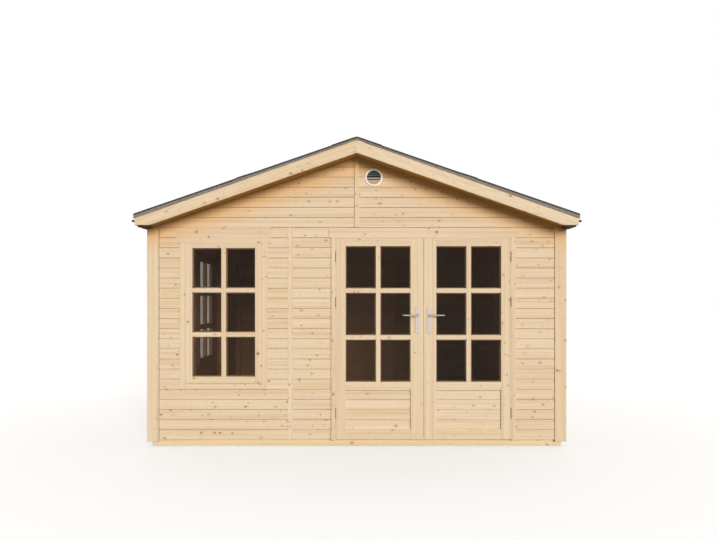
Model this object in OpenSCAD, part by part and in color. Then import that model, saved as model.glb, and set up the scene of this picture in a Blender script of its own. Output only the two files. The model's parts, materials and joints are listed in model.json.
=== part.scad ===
// Garden cabin of horizontal spruce boards slotted between posts, with a gable roof of felted
// boards, a double glazed door and two glazed windows.
// Millimetres, at real size. The origin is on the ground at the middle of the plan, +Z is up and
// the door front faces -Y.

/* [Plan] */
// Width of one wall module, three to each side
module_w = 1170; // [1080:1:1300]
// From the outermost module line to the outer face of the wall boards
corner_margin = 70; // [62:1:90]

/* [Base and floor] */
// Height of the base timbers
base_h = 64; // [50:1:90]
// Width of the base timbers
base_w = 60; // [45:1:80]
// How far the wall boards hang over the outside of the base
board_lap = 6; // [4:1:12]
// Thickness of the floor boards
floor_t = 19; // [16:1:28]

/* [Wall boards] */
// Thickness of a wall board
board_t = 19; // [16:1:24]
// Visible height of one board course
board_cover = 89; // [84:0.5:96]
// Board courses from the base up to the gables
courses = 21; // [20:1:23]
// Chamfer along the edges of each board
board_chamfer = 3.5; // [2:0.5:5]
// How far the board ends slot into the posts
tongue = 12; // [8:1:15]

/* [Posts and plates] */
// Width of each face of a corner post
post_w = 102; // [92:1:112]
// How far the corner posts stand proud of the boards
post_proud = 19; // [12:1:26]
// How far the corner posts reach below the boards
post_drop = 13; // [4:1:30]
// Width of the posts that join two wall panels
joint_w = 42; // [36:1:60]
// How far the joint posts stand proud of the boards
joint_proud = 6; // [4:1:12]
// Height of the wall plates along the tops of the walls
plate_h = 70; // [50:1:85]
// Width of the strip over the gable joint
strip_w = 40; // [30:1:60]
// Thickness of the strip over the gable joint
strip_t = 14; // [8:1:18]

/* [Roof] */
// Slope of the roof in degrees
roof_pitch = 19; // [15:0.5:24]
// Height of the eave beams at the outer face of the side walls
eave_beam_h = 97; // [80:1:120]
// How far the roof boards pass the side walls
eave_overhang = 58; // [48:1:68]
// From the front boards to the face of the bargeboards
verge_overhang = 200; // [150:1:260]
// Thickness of the roof boards
deck_t = 16; // [14:1:22]
// Thickness of the roofing felt
felt_t = 3; // [2:0.5:5]
// Height of the felt turned down over the verge at the ridge
felt_lip_ridge = 29; // [20:1:40]
// Height of the felt turned down at the eaves
felt_lip_eave = 45; // [30:1:50]
// Thickness of the bargeboards and eave boards
barge_t = 19; // [16:1:28]
// Depth of the bargeboards, square to the slope
barge_h = 126; // [112:1:140]
// Height of the upright end of each bargeboard
barge_end_h = 97; // [85:1:105]
// From the underside of the roof boards to the boards that close the verge
verge_drop = 85; // [75:1:92]
// Thickness of the boards that close the verge
soffit_t = 16; // [14:1:20]
// Width of the ridge beam and purlins
purlin_w = 58; // [45:1:80]
// Height of the ridge beam and purlins
purlin_h = 120; // [90:1:150]
// Size of the drip strip along each eave
drip_h = 16; // [10:1:20]
// How far the drip strip stands out from the eave
drip_w = 23; // [18:1:30]
// From the edge of the felt at the eaves down to the drip strip
drip_gap = 13; // [6:1:20]

/* [Trim] */
// Thickness of the casings around the windows and the door
casing_t = 19; // [16:1:24]
// Thickness of the wider head casings
head_t = 24; // [20:1:32]
// Width of the side and sill casings of a window
casing_w = 52; // [40:1:70]

/* [Windows] */
// Width of a window sash
sash_w = 668; // [560:1:760]
// Height of a window sash
sash_h = 1232; // [1000:1:1260]
// Thickness of a window sash
sash_t = 40; // [34:1:48]
// How far a sash stands proud of the wall boards
sash_proud = 10; // [6:1:14]
// Width of the sash stiles and bottom rail
sash_stile = 58; // [45:1:70]
// Width of the top rail of a sash
sash_top_rail = 45; // [40:1:70]
// Width of the glazing bars
bar_w = 43; // [36:1:50]
// Height of the head casing over a window
window_head_h = 137; // [100:1:150]
// How far a window head passes its side casings
window_ear = 29; // [10:1:45]
// Thickness of the glass
glass_t = 4; // [3:0.5:6]
// Depth of the grooves that hold the glass and the door panels
groove_d = 8; // [5:0.5:12]

/* [Door] */
// Width of each door leaf
leaf_w = 763; // [680:1:800]
// Gap around and between the leaves
door_gap = 6; // [5.5:0.5:8]
// Gap between the base and the foot of the leaves
leaf_lift = 3; // [2:0.5:8]
// Width of the jambs beside the door
jamb_w = 48; // [40:1:60]
// Height of the head over the door
door_head_h = 88; // [80:1:110]
// How far the door head passes the jambs
door_ear = 13; // [5:1:30]
// How far the inner frame laps behind the leaves
stop_lap = 14; // [10:1:20]
// Width of the stile on the hinge side
hinge_stile = 84; // [76:1:100]
// Width of the stile on the meeting side
lock_stile = 110; // [100:1:120]
// Height of the top rail
top_rail = 71; // [60:1:90]
// Height of the rail under the glass
mid_rail = 78; // [60:1:100]
// Height of the bottom rail
bottom_rail = 72; // [60:1:100]
// Height of the boarded panel below the glass
panel_h = 354; // [280:1:420]
// Thickness of the boarded panel
panel_t = 12; // [10:1:15]

/* [Hinges and handles] */
// Diameter of a hinge knuckle
hinge_d = 12; // [10:0.5:14]
// Height of a hinge
hinge_h = 85; // [70:1:100]
// Diameter of a hinge pin
pin_d = 5; // [4:0.5:6]
// Width of a handle plate
handle_plate_w = 44; // [36:1:48]
// Height of a handle plate
handle_plate_h = 239; // [200:1:260]
// Height of the lever above the foot of the leaf
lever_z = 1089; // [950:1:1150]
// Length of a lever from its spindle
lever_len = 131; // [100:1:150]
// Thickness of a lever
lever_d = 18; // [14:0.5:22]
// From the face of the door to the middle of a lever
lever_reach = 48; // [40:1:60]

/* [Vent] */
// Outer diameter of the gable vent
vent_d = 155; // [120:1:180]
// Width of the ring around the vent
vent_ring_w = 15; // [10:1:20]
// From the middle of the gable to the middle of the vent
vent_x = 150; // [120:1:260]
// From the boards that close the verge down to the middle of the vent
vent_drop = 126; // [110:1:200]

/* [Hidden] */
$fn = 48;
overrun = 1;
module_count = 3;
plate_setback = 4;
joist_w = 45;
joist_pitch = 380;
window_x = -module_w;
door_x = module_w / 2;

// Plan lines, as distances from the middle
wall_half = module_count * module_w / 2 + corner_margin;
wall_in = wall_half - board_t;
post_out = wall_half + post_proud;
post_in = post_out - post_w;
frame_in = post_in + plate_setback;
roof_half = wall_half + eave_overhang;
verge_out = wall_half + verge_overhang;
verge_in = verge_out - barge_t;

// Heights
board_foot = base_h - board_lap;
floor_top = base_h + floor_t;
wall_top = board_foot + courses * board_cover;
plate_foot = wall_top - plate_h;
sash_top = wall_top - window_head_h;
sash_foot = sash_top - sash_h;
door_head_z = wall_top - door_head_h;
leaf_foot = base_h + leaf_lift;
leaf_top = door_head_z - door_gap;
leaf_h = leaf_top - leaf_foot;
vent_z = soffit_z(vent_x) - vent_drop;

// Door plan, measured from the meeting line of the leaves
opening_half = leaf_w + door_gap * 3 / 2;
leaf_near = door_gap / 2;
leaf_far = leaf_near + leaf_w;
leaf_front = wall_half + casing_t;
leaf_t = board_t + casing_t - door_gap;
leaf_back = leaf_front - leaf_t;
leaf_mid = (leaf_front + leaf_back) / 2;
stud_w = jamb_w + stop_lap * 2;
sill_h = 12;

// Hinge and handle details
pin_x = -opening_half + door_gap / 2;
pin_y = -leaf_front - hinge_d / 2;
pin_clear = 0.3;
knuckle_gap = 0.5;
hinge_leaf_t = 2;
hinge_leaf_w = 24;
hinge_z_shares = [0.13, 0.682, 0.907];
handle_x = -leaf_near - 49.5;
handle_plate_t = 8;
handle_rise_share = 0.32;
lever_clear = 0.6;
spindle_d = 10;
neck_d = 15;
lever_tip = 5;

// Vent details
vent_flange_t = 10;
vent_tube_t = 3;
louvre_t = 3;
louvre_w = 16;
louvre_tilt = 40;
louvre_count = 7;

// Height of the roof at a distance x from the ridge, lifted square to the slope from the
// underside of the roof boards
function roof_z(x, lift) =
    wall_top + eave_beam_h + (wall_half - abs(x)) * tan(roof_pitch) + lift / cos(roof_pitch);
function soffit_z(x) = roof_z(x, -verge_drop - soffit_t);
deck_z = deck_t;
felt_z = deck_t + felt_t;
barge_foot = roof_z(roof_half, deck_z) - barge_end_h;
barge_cut_x = (roof_z(0, deck_z - barge_h) - barge_foot) / tan(roof_pitch);

// Section of a stack of boards, [depth, height], with every board's outer edges chamfered
function board_profile(count, cover, thickness) = concat(
    [for (i = [0 : count - 1]) each [
        [board_chamfer, i * cover],
        [0, i * cover + board_chamfer],
        [0, (i + 1) * cover - board_chamfer]
    ]],
    [[board_chamfer, count * cover], [thickness, count * cover], [thickness, 0]]
);

// Ends of the three board panels of a wall, slotted into the posts on both sides
function bay_start(i) = i < 0 ? -post_in - tongue : (i - 1/2) * module_w + joint_w / 2 - tongue;
function bay_end(i) = i > 0 ? post_in + tongue : (i + 1/2) * module_w - joint_w / 2 + tongue;

spruce = "#e8ceac";
pale_spruce = "#eed9b8";
felt_grey = "#554e49";
white = "#f2efe6";
steel = "#c8c8cd";
black = "#1c1c1c";
tinted_glass = [0.16, 0.14, 0.13, 0.6];

// Shapes used by several pieces

module block(low, high) {
    translate(low) cube(high - low);
}

// Turns a piece of the front wall to the wall at the given angle, x along the wall
module on_wall(angle, x) {
    rotate([0, 0, angle]) translate([x, 0, 0]) children();
}

// Extrudes an outline of [x, z] points from y0 to y1
module across(y0, y1) {
    translate([0, y1, 0]) rotate([90, 0, 0]) linear_extrude(y1 - y0) children();
}

module front_and_back() {
    children();
    mirror([0, 1, 0]) children();
}

module left_and_right() {
    children();
    mirror([1, 0, 0]) children();
}

module wall_panel(x0, x1) {
    translate([x0, -wall_half, board_foot]) rotate([90, 0, 90])
        linear_extrude(x1 - x0) polygon(board_profile(courses, board_cover, board_t));
}

module base_outline() {
    block([-wall_in, -wall_in, 0], [wall_in, wall_in, base_h]);
}

// Base and floor

module base_rails() {
    color(spruce) front_and_back()
        block([-wall_in, -wall_in, 0], [wall_in, -wall_in + base_w, base_h]);
}

module base_joists() {
    reach = wall_in - base_w;
    span = 2 * wall_in - base_w;
    bays = ceil(span / joist_pitch);
    color(spruce) {
        left_and_right() block([wall_in - base_w, -reach, 0], [wall_in, reach, base_h]);
        for (i = [1 : bays - 1])
            translate([span * (i / bays - 1/2), 0, 0])
                block([-joist_w / 2, -reach, 0], [joist_w / 2, reach, base_h]);
    }
}

module floor_boards() {
    color(pale_spruce) difference() {
        block([-wall_in, -wall_in, base_h], [wall_in, wall_in, floor_top]);
        left_and_right() front_and_back() corner_post_outline();
        each_joint() joint_post_outline();
    }
}

// Posts and plates

module corner_post_outline() {
    across(-post_out, -post_in) polygon([
        [post_in, board_foot - post_drop], [post_out, board_foot - post_drop],
        [post_out, soffit_z(post_out)], [post_in, soffit_z(post_in)]
    ]);
}

module corner_post() {
    difference() {
        corner_post_outline();
        base_outline();
        eave_beam();
        block([post_in - overrun, -wall_half, board_foot],
              [post_in + tongue, -wall_in, soffit_z(post_in) + overrun]);
        block([wall_in, -post_in - tongue, board_foot], [wall_half, -post_in + overrun, wall_top]);
    }
}

module corner_posts() {
    color(spruce) left_and_right() front_and_back() corner_post();
}

module joint_post_outline() {
    block([-joint_w / 2, -wall_half - joint_proud, board_foot], [joint_w / 2, -frame_in, wall_top]);
}

module joint_post() {
    difference() {
        joint_post_outline();
        translate([0, 0, -overrun]) block(
            [-joint_w, -wall_in, 0], [joint_w, -frame_in + overrun, base_h + overrun]);
        block([-joint_w, -wall_in, plate_foot], [joint_w, -frame_in + overrun, wall_top + overrun]);
        left_and_right() block(
            [joint_w / 2 - tongue, -wall_half, board_foot - overrun],
            [joint_w, -wall_in, wall_top + overrun]);
    }
}

// One joint in the front wall, where the door fills the rest, and two in each other wall
module each_joint() {
    on_wall(0, -module_w / 2) children();
    for (angle = [90, 180, 270], side = [-1, 1])
        on_wall(angle, side * module_w / 2) children();
}

module joint_posts() {
    color(spruce) each_joint() joint_post();
}

module wall_plates() {
    color(spruce) for (angle = [0, 90, 180, 270])
        on_wall(angle, 0) block([-post_in, -wall_in, plate_foot], [post_in, -frame_in, wall_top]);
}

// Wall panels

module window_opening() {
    block([-sash_w / 2, -wall_half - overrun, sash_foot], [sash_w / 2, -wall_in + overrun, sash_top]);
}

module front_window_panel() {
    color(spruce) difference() {
        wall_panel(bay_start(-1), bay_end(-1));
        on_wall(0, window_x) window_opening();
    }
}

module front_infill_panels() {
    color(spruce) {
        wall_panel(bay_start(0), door_x - opening_half - jamb_w);
        wall_panel(door_x + opening_half + jamb_w, bay_end(1));
    }
}

module back_wall() {
    color(spruce) on_wall(180, 0) for (i = [-1 : 1]) wall_panel(bay_start(i), bay_end(i));
}

module left_window_panel() {
    color(spruce) on_wall(270, 0) difference() {
        wall_panel(bay_start(0), bay_end(0));
        window_opening();
    }
}

module left_wall() {
    color(spruce) on_wall(270, 0) for (i = [-1, 1]) wall_panel(bay_start(i), bay_end(i));
}

module right_wall() {
    color(spruce) on_wall(90, 0) for (i = [-1 : 1]) wall_panel(bay_start(i), bay_end(i));
}

// Gables

module gable() {
    gable_courses = ceil((roof_z(0, 0) - wall_top) / board_cover);
    difference() {
        intersection() {
            translate([-wall_half, -wall_half, wall_top]) rotate([90, 0, 90])
                linear_extrude(2 * wall_half)
                    polygon(board_profile(gable_courses, board_cover, board_t));
            across(-wall_half - overrun, -wall_in + overrun) polygon([
                [-wall_half, wall_top], [wall_half, wall_top],
                [wall_half, roof_z(wall_half, 0)], [0, roof_z(0, 0)], [-wall_half, roof_z(wall_half, 0)]
            ]);
        }
        left_and_right() corner_post();
    }
}

module front_gable() {
    color(spruce) difference() {
        gable();
        translate([vent_x, -wall_in + overrun, vent_z]) rotate([90, 0, 0])
            cylinder(d = vent_tube_d(), h = board_t + 2 * overrun);
    }
}

module back_gable() {
    color(spruce) mirror([0, 1, 0]) gable();
}

module gable_strips() {
    color(pale_spruce) front_and_back() across(-wall_half - strip_t, -wall_half) polygon([
        [-strip_w / 2, wall_top], [strip_w / 2, wall_top], [strip_w / 2, soffit_z(strip_w / 2)],
        [0, soffit_z(0)], [-strip_w / 2, soffit_z(strip_w / 2)]
    ]);
}

// Windows: one in the front wall, one in the middle of the left wall

module each_window() {
    on_wall(0, window_x) children();
    on_wall(270, 0) children();
}

module window_casings() {
    half = sash_w / 2;
    color(pale_spruce) each_window() difference() {
        block([-half - casing_w, -wall_half - casing_t, sash_foot - casing_w],
              [half + casing_w, -wall_half, sash_top]);
        block([-half, -wall_half - casing_t - overrun, sash_foot],
              [half, -wall_half + overrun, sash_top + overrun]);
    }
}

module window_heads() {
    half = sash_w / 2 + casing_w + window_ear;
    color(pale_spruce) each_window()
        block([-half, -wall_half - head_t, sash_top], [half, -wall_half, wall_top]);
}

// Places its children at the low left corner of each of six panes, two across and three down
module each_pane(left, top, pane) {
    for (column = [0, 1], row = [0 : 2])
        translate([left + column * (pane[0] + bar_w), 0, top - (row + 1) * pane[1] - row * bar_w])
            children();
}

module pane_opening(pane, front, back) {
    block([0, -front - overrun, 0], [pane[0], -back + overrun, pane[1]]);
}

module pane_glass(pane, middle) {
    block([-groove_d, -middle - glass_t / 2, -groove_d],
          [pane[0] + groove_d, -middle + glass_t / 2, pane[1] + groove_d]);
}

sash_front = wall_half + sash_proud;
sash_back = sash_front - sash_t;
sash_mid = (sash_front + sash_back) / 2;
sash_pane = [
    (sash_w - 2 * sash_stile - bar_w) / 2,
    (sash_h - sash_stile - sash_top_rail - 2 * bar_w) / 3
];

module sash_panes() {
    each_pane(-sash_w / 2 + sash_stile, sash_top - sash_top_rail, sash_pane) children();
}

module window_sashes() {
    color(pale_spruce) each_window() difference() {
        block([-sash_w / 2, -sash_front, sash_foot], [sash_w / 2, -sash_back, sash_top]);
        sash_panes() {
            pane_opening(sash_pane, sash_front, sash_back);
            pane_glass(sash_pane, sash_mid);
        }
    }
}

module window_glass() {
    color(tinted_glass) each_window() sash_panes() pane_glass(sash_pane, sash_mid);
}

// Door frame. The door's pieces are drawn on the left and measured from the meeting line.

module at_door() {
    translate([door_x, 0, 0]) children();
}

module door_studs() {
    inner = opening_half - stop_lap;
    color(spruce) at_door() left_and_right()
        block([inner, -wall_in, floor_top], [inner + stud_w, -frame_in, plate_foot]);
}

module door_stop_bars() {
    inner = opening_half - stop_lap;
    color(spruce) at_door() {
        block([-inner, -wall_in, leaf_top - stop_lap], [inner, -frame_in, plate_foot]);
        block([-inner, -wall_in, floor_top], [inner, -frame_in, floor_top + sill_h]);
    }
}

module door_jambs() {
    color(pale_spruce) at_door() left_and_right()
        block([opening_half, -leaf_front, board_foot], [opening_half + jamb_w, -wall_in, door_head_z]);
}

module door_lintel() {
    half = opening_half + jamb_w;
    color(spruce) at_door() block([-half, -wall_half, door_head_z], [half, -wall_in, wall_top]);
}

module door_head() {
    half = opening_half + jamb_w + door_ear;
    color(pale_spruce) at_door()
        block([-half, -wall_half - head_t, door_head_z], [half, -wall_half, wall_top]);
}

// Hinges: three butt hinges a leaf, with the knuckles outside and the plates in the gap

module each_hinge() {
    for (share = hinge_z_shares)
        translate([pin_x, pin_y, leaf_foot + share * leaf_h]) children();
}

module knuckle(low, high, diameter) {
    translate([0, 0, low]) cylinder(d = diameter, h = high - low);
}

// A hinge plate on one side of the gap, joined to its knuckle between low and high
module hinge_plate(x0, spans) {
    plate_start = hinge_d / 2 + 2 * pin_clear;
    block([x0, plate_start, -hinge_h / 2], [x0 + hinge_leaf_t, plate_start + hinge_leaf_w, hinge_h / 2]);
    for (span = spans)
        block([x0, 0, span[0]], [x0 + hinge_leaf_t, plate_start, span[1]]);
}

knuckle_half = hinge_h / 6;
frame_spans = [
    [-hinge_h / 2, -knuckle_half - knuckle_gap],
    [knuckle_half + knuckle_gap, hinge_h / 2]
];
leaf_spans = [[-knuckle_half, knuckle_half]];

module hinge_frame() {
    for (span = frame_spans) knuckle(span[0], span[1], hinge_d);
    knuckle(-hinge_h / 2, hinge_h / 2, pin_d);
    hinge_plate(-door_gap / 2, frame_spans);
}

module hinge_leaf() {
    difference() {
        union() {
            knuckle(leaf_spans[0][0], leaf_spans[0][1], hinge_d);
            hinge_plate(door_gap / 2 - hinge_leaf_t, leaf_spans);
        }
        knuckle(-hinge_h, hinge_h, pin_d + 2 * pin_clear);
    }
}

module door_hinge_frames() {
    color(steel) at_door() left_and_right() each_hinge() hinge_frame();
}

// Door leaves

door_pane = [
    (leaf_w - hinge_stile - lock_stile - bar_w) / 2,
    (leaf_h - top_rail - mid_rail - bottom_rail - panel_h - 2 * bar_w) / 3
];
panel_boards = 4;
panel_low = [-leaf_far + hinge_stile, leaf_foot + bottom_rail];
panel_high = [-leaf_near - lock_stile, leaf_foot + bottom_rail + panel_h];

module door_panes() {
    each_pane(-leaf_far + hinge_stile, leaf_top - top_rail, door_pane) children();
}

module at_lever() {
    translate([handle_x, 0, leaf_foot + lever_z]) children();
}

// A round bar along Y, from the distance low to the distance high in front of the middle
module round_bar(low, high, diameter) {
    translate([0, -low, 0]) rotate([90, 0, 0]) cylinder(d = diameter, h = high - low);
}

module panel_seat() {
    block([panel_low[0] - groove_d, -leaf_mid - panel_t / 2, panel_low[1] - groove_d],
          [panel_high[0] + groove_d, -leaf_mid + panel_t / 2, panel_high[1] + groove_d]);
}

module door_leaf() {
    difference() {
        block([-leaf_far, -leaf_front, leaf_foot], [-leaf_near, -leaf_back, leaf_top]);
        door_panes() {
            pane_opening(door_pane, leaf_front, leaf_back);
            pane_glass(door_pane, leaf_mid);
        }
        block([panel_low[0], -leaf_front - overrun, panel_low[1]],
              [panel_high[0], -leaf_back + overrun, panel_high[1]]);
        panel_seat();
        at_lever() round_bar(leaf_back - overrun, leaf_front + overrun, spindle_d + 2 * lever_clear);
    }
}

module door_panel() {
    height = panel_h + 2 * groove_d;
    translate([panel_low[0] - groove_d, -leaf_mid - panel_t / 2, panel_low[1] - groove_d])
        rotate([90, 0, 90]) linear_extrude(panel_high[0] - panel_low[0] + 2 * groove_d)
            polygon(board_profile(panel_boards, height / panel_boards, panel_t));
}

module door_glass() {
    door_panes() pane_glass(door_pane, leaf_mid);
}

// Long handle plates on both faces, round at the ends, drilled for the spindle

module handle_plate_outline() {
    end = handle_plate_w / 2;
    high = handle_plate_h * handle_rise_share - end;
    low = high - handle_plate_h + handle_plate_w;
    translate([0, low]) circle(end);
    translate([0, high]) circle(end);
    translate([-end, low]) square([handle_plate_w, high - low]);
}

module handle_plates() {
    at_lever() difference() {
        union() {
            across(-leaf_front - handle_plate_t, -leaf_front) handle_plate_outline();
            across(-leaf_back, -leaf_back + handle_plate_t) handle_plate_outline();
        }
        round_bar(leaf_back - handle_plate_t - overrun, leaf_front + handle_plate_t + overrun,
                  spindle_d + 2 * lever_clear);
    }
}

// A lever on each face, fixed to one spindle, pointing to the hinges
module lever() {
    plate_face = leaf_t / 2 + handle_plate_t;
    reach = leaf_t / 2 + lever_reach;
    at_lever() translate([0, -leaf_mid, 0]) {
        round_bar(-reach, reach, spindle_d);
        for (turn = [0, 1]) mirror([0, turn, 0]) {
            round_bar(plate_face + lever_clear, reach, neck_d);
            translate([neck_d / 2, -reach, 0]) rotate([0, -90, 0]) rotate_extrude() polygon([
                [0, 0], [lever_d / 2 - lever_tip / 2, 0], [lever_d / 2, lever_tip / 2],
                [lever_d / 2, lever_len + neck_d / 2 - lever_tip],
                [lever_d / 2 - lever_tip, lever_len + neck_d / 2], [0, lever_len + neck_d / 2]
            ]);
        }
    }
}

module left_door_leaf() { color(pale_spruce) at_door() door_leaf(); }
module left_door_panel() { color(spruce) at_door() door_panel(); }
module left_door_glass() { color(tinted_glass) at_door() door_glass(); }
module left_hinge_leaves() { color(steel) at_door() each_hinge() hinge_leaf(); }
module left_handle_plates() { color(steel) at_door() handle_plates(); }
module left_lever() { color(steel) at_door() lever(); }

module on_right_leaf() { at_door() mirror([1, 0, 0]) children(); }
module right_door_leaf() { color(pale_spruce) on_right_leaf() door_leaf(); }
module right_door_panel() { color(spruce) on_right_leaf() door_panel(); }
module right_door_glass() { color(tinted_glass) on_right_leaf() door_glass(); }
module right_hinge_leaves() { color(steel) on_right_leaf() each_hinge() hinge_leaf(); }
module right_handle_plates() { color(steel) on_right_leaf() handle_plates(); }
module right_lever() { color(steel) on_right_leaf() lever(); }

// Roof frame

module eave_beam() {
    across(-wall_in, wall_in) polygon([
        [post_in, wall_top], [wall_half, wall_top],
        [wall_half, roof_z(wall_half, 0)], [post_in, roof_z(post_in, 0)]
    ]);
}

module eave_beams() {
    color(spruce) left_and_right() eave_beam();
}

module purlins() {
    middle = wall_half / 2;
    near = middle - purlin_w / 2;
    far = middle + purlin_w / 2;
    color(spruce) {
        across(-wall_in, wall_in) polygon([
            [0, roof_z(0, 0)], [purlin_w / 2, roof_z(purlin_w / 2, 0)],
            [purlin_w / 2, roof_z(0, 0) - purlin_h], [-purlin_w / 2, roof_z(0, 0) - purlin_h],
            [-purlin_w / 2, roof_z(purlin_w / 2, 0)]
        ]);
        left_and_right() across(-wall_in, wall_in) polygon([
            [near, roof_z(near, 0)], [far, roof_z(far, 0)],
            [far, roof_z(near, 0) - purlin_h], [near, roof_z(near, 0) - purlin_h]
        ]);
    }
}

// Closes the underside of the verge from the gable to the bargeboard
module verge_soffits() {
    end = roof_half - barge_t;
    foot = soffit_z(post_out);
    color(spruce) front_and_back() across(-verge_in, -wall_half) polygon([
        [0, roof_z(0, -verge_drop)], [end, roof_z(end, -verge_drop)], [end, foot],
        [post_out, foot], [0, soffit_z(0)], [-post_out, foot],
        [-end, foot], [-end, roof_z(end, -verge_drop)]
    ]);
}

module roof_deck() {
    across(-verge_in, verge_in) polygon([
        [0, roof_z(0, deck_z)], [roof_half, roof_z(roof_half, deck_z)],
        [roof_half, roof_z(roof_half, 0)], [0, roof_z(0, 0)]
    ]);
}

module roof_deck_left() { color(spruce) mirror([1, 0, 0]) roof_deck(); }
module roof_deck_right() { color(spruce) roof_deck(); }

// A bargeboard covers the ends of the roof boards and has its lower corner cut level
module bargeboard() {
    across(-verge_out, -verge_in) polygon([
        [0, roof_z(0, deck_z)], [roof_half, roof_z(roof_half, deck_z)], [roof_half, barge_foot],
        [barge_cut_x, barge_foot], [0, roof_z(0, deck_z - barge_h)]
    ]);
}

module bargeboards_left() { color(pale_spruce) front_and_back() mirror([1, 0, 0]) bargeboard(); }
module bargeboards_right() { color(pale_spruce) front_and_back() bargeboard(); }

module eave_boards() {
    back = roof_half - barge_t;
    color(spruce) left_and_right() across(-verge_in, verge_in) polygon([
        [back, barge_foot], [roof_half, barge_foot],
        [roof_half, roof_z(roof_half, 0)], [back, roof_z(back, 0)]
    ]);
}

module drip_strips() {
    foot = roof_z(roof_half, felt_z) - felt_lip_eave - drip_gap - drip_h;
    nose = drip_h / 2;
    color(black) left_and_right() across(-verge_out, verge_out) translate([roof_half, foot]) {
        square([drip_w - nose, drip_h]);
        translate([drip_w - nose, nose]) circle(nose);
    }
}

// Felt over both slopes, turned down over the bargeboards and the eave boards
module roof_felt() {
    edge = roof_half + felt_t;
    front = verge_out + felt_t;
    color(felt_grey) union() {
        across(-front, front) polygon([
            [0, roof_z(0, felt_z)], [edge, roof_z(edge, felt_z)], [edge, roof_z(edge, deck_z)],
            [0, roof_z(0, deck_z)], [-edge, roof_z(edge, deck_z)], [-edge, roof_z(edge, felt_z)]
        ]);
        left_and_right() block([roof_half, -front, roof_z(roof_half, felt_z) - felt_lip_eave],
                               [edge, front, roof_z(edge, felt_z)]);
        front_and_back() across(-front, -verge_out) polygon([
            [0, roof_z(0, felt_z)], [edge, roof_z(edge, felt_z)],
            [edge, roof_z(roof_half, felt_z) - felt_lip_eave],
            [0, roof_z(0, felt_z) - felt_lip_ridge],
            [-edge, roof_z(roof_half, felt_z) - felt_lip_eave], [-edge, roof_z(edge, felt_z)]
        ]);
    }
}

// Round vent in the front gable: a flanged tube with tilted louvres

function vent_inner_d() = vent_d - 2 * vent_ring_w;
function vent_tube_d() = vent_inner_d() + 2 * vent_tube_t;

module gable_vent() {
    inner = vent_inner_d() / 2;
    tube = vent_tube_d() / 2;
    pitch = vent_inner_d() / louvre_count;
    color(white) translate([vent_x, -wall_half, vent_z]) {
        rotate([90, 0, 0]) rotate_extrude() polygon([
            [inner, -board_t], [tube, -board_t], [tube, 0], [vent_d / 2, 0],
            [vent_d / 2, vent_flange_t / 2], [vent_d / 2 - vent_flange_t / 2, vent_flange_t],
            [inner, vent_flange_t]
        ]);
        intersection() {
            round_bar(-board_t, vent_flange_t, vent_inner_d() + vent_tube_t);
            for (i = [0 : louvre_count - 1])
                translate([0, 0, (i + 1/2) * pitch - inner]) rotate([louvre_tilt, 0, 0])
                    block([-tube, -louvre_w / 2, -louvre_t / 2], [tube, louvre_w / 2, louvre_t / 2]);
        }
    }
}

base_rails();
base_joists();
floor_boards();  // floor
corner_posts();
joint_posts();
wall_plates();
front_window_panel();
front_infill_panels();
front_gable();
back_wall();
back_gable();
left_window_panel();
left_wall();
right_wall();
gable_strips();
window_casings();
window_heads();
window_sashes();
window_glass();
door_studs();
door_stop_bars();
door_jambs();
door_lintel();
door_head();
door_hinge_frames();
left_door_leaf();
left_door_panel();
left_door_glass();
left_hinge_leaves();
left_handle_plates();
left_lever();
right_door_leaf();
right_door_panel();
right_door_glass();
right_hinge_leaves();
right_handle_plates();
right_lever();
purlins();
eave_beams();
verge_soffits();
roof_deck_left();
roof_deck_right();
bargeboards_left();
bargeboards_right();
eave_boards();
drip_strips();
roof_felt();
gable_vent();
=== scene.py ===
import json
import math
import random

import bmesh
import bpy
from mathutils import Matrix, Vector


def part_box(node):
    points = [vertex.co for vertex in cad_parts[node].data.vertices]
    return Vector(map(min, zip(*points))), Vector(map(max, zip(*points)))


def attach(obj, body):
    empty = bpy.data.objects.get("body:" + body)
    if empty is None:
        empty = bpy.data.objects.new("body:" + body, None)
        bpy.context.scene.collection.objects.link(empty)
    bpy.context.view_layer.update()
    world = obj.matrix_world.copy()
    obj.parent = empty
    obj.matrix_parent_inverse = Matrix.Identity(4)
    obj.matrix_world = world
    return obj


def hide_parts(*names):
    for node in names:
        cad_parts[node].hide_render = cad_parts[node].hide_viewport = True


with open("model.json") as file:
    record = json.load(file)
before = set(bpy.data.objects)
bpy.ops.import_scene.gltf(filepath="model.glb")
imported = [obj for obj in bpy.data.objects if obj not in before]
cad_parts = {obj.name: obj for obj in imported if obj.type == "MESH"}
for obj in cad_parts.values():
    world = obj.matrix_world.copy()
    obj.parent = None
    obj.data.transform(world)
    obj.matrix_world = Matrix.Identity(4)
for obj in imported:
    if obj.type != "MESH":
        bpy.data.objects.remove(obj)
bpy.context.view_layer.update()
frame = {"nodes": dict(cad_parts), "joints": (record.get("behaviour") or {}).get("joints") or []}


# Base timbers: two rails under the front and back walls, with joists between them.
# They are sawn spruce with slightly eased edges, and the whole cabin stands on them.

chance = random.Random(19)
EASE = 0.0016
RAIL_EASE = 0.003
JOIST_EASE = 0.002


def box_of(points):
    """Lowest and highest corners of some points."""
    axes = list(zip(*points))
    return Vector(min(axis) for axis in axes), Vector(max(axis) for axis in axes)


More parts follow.
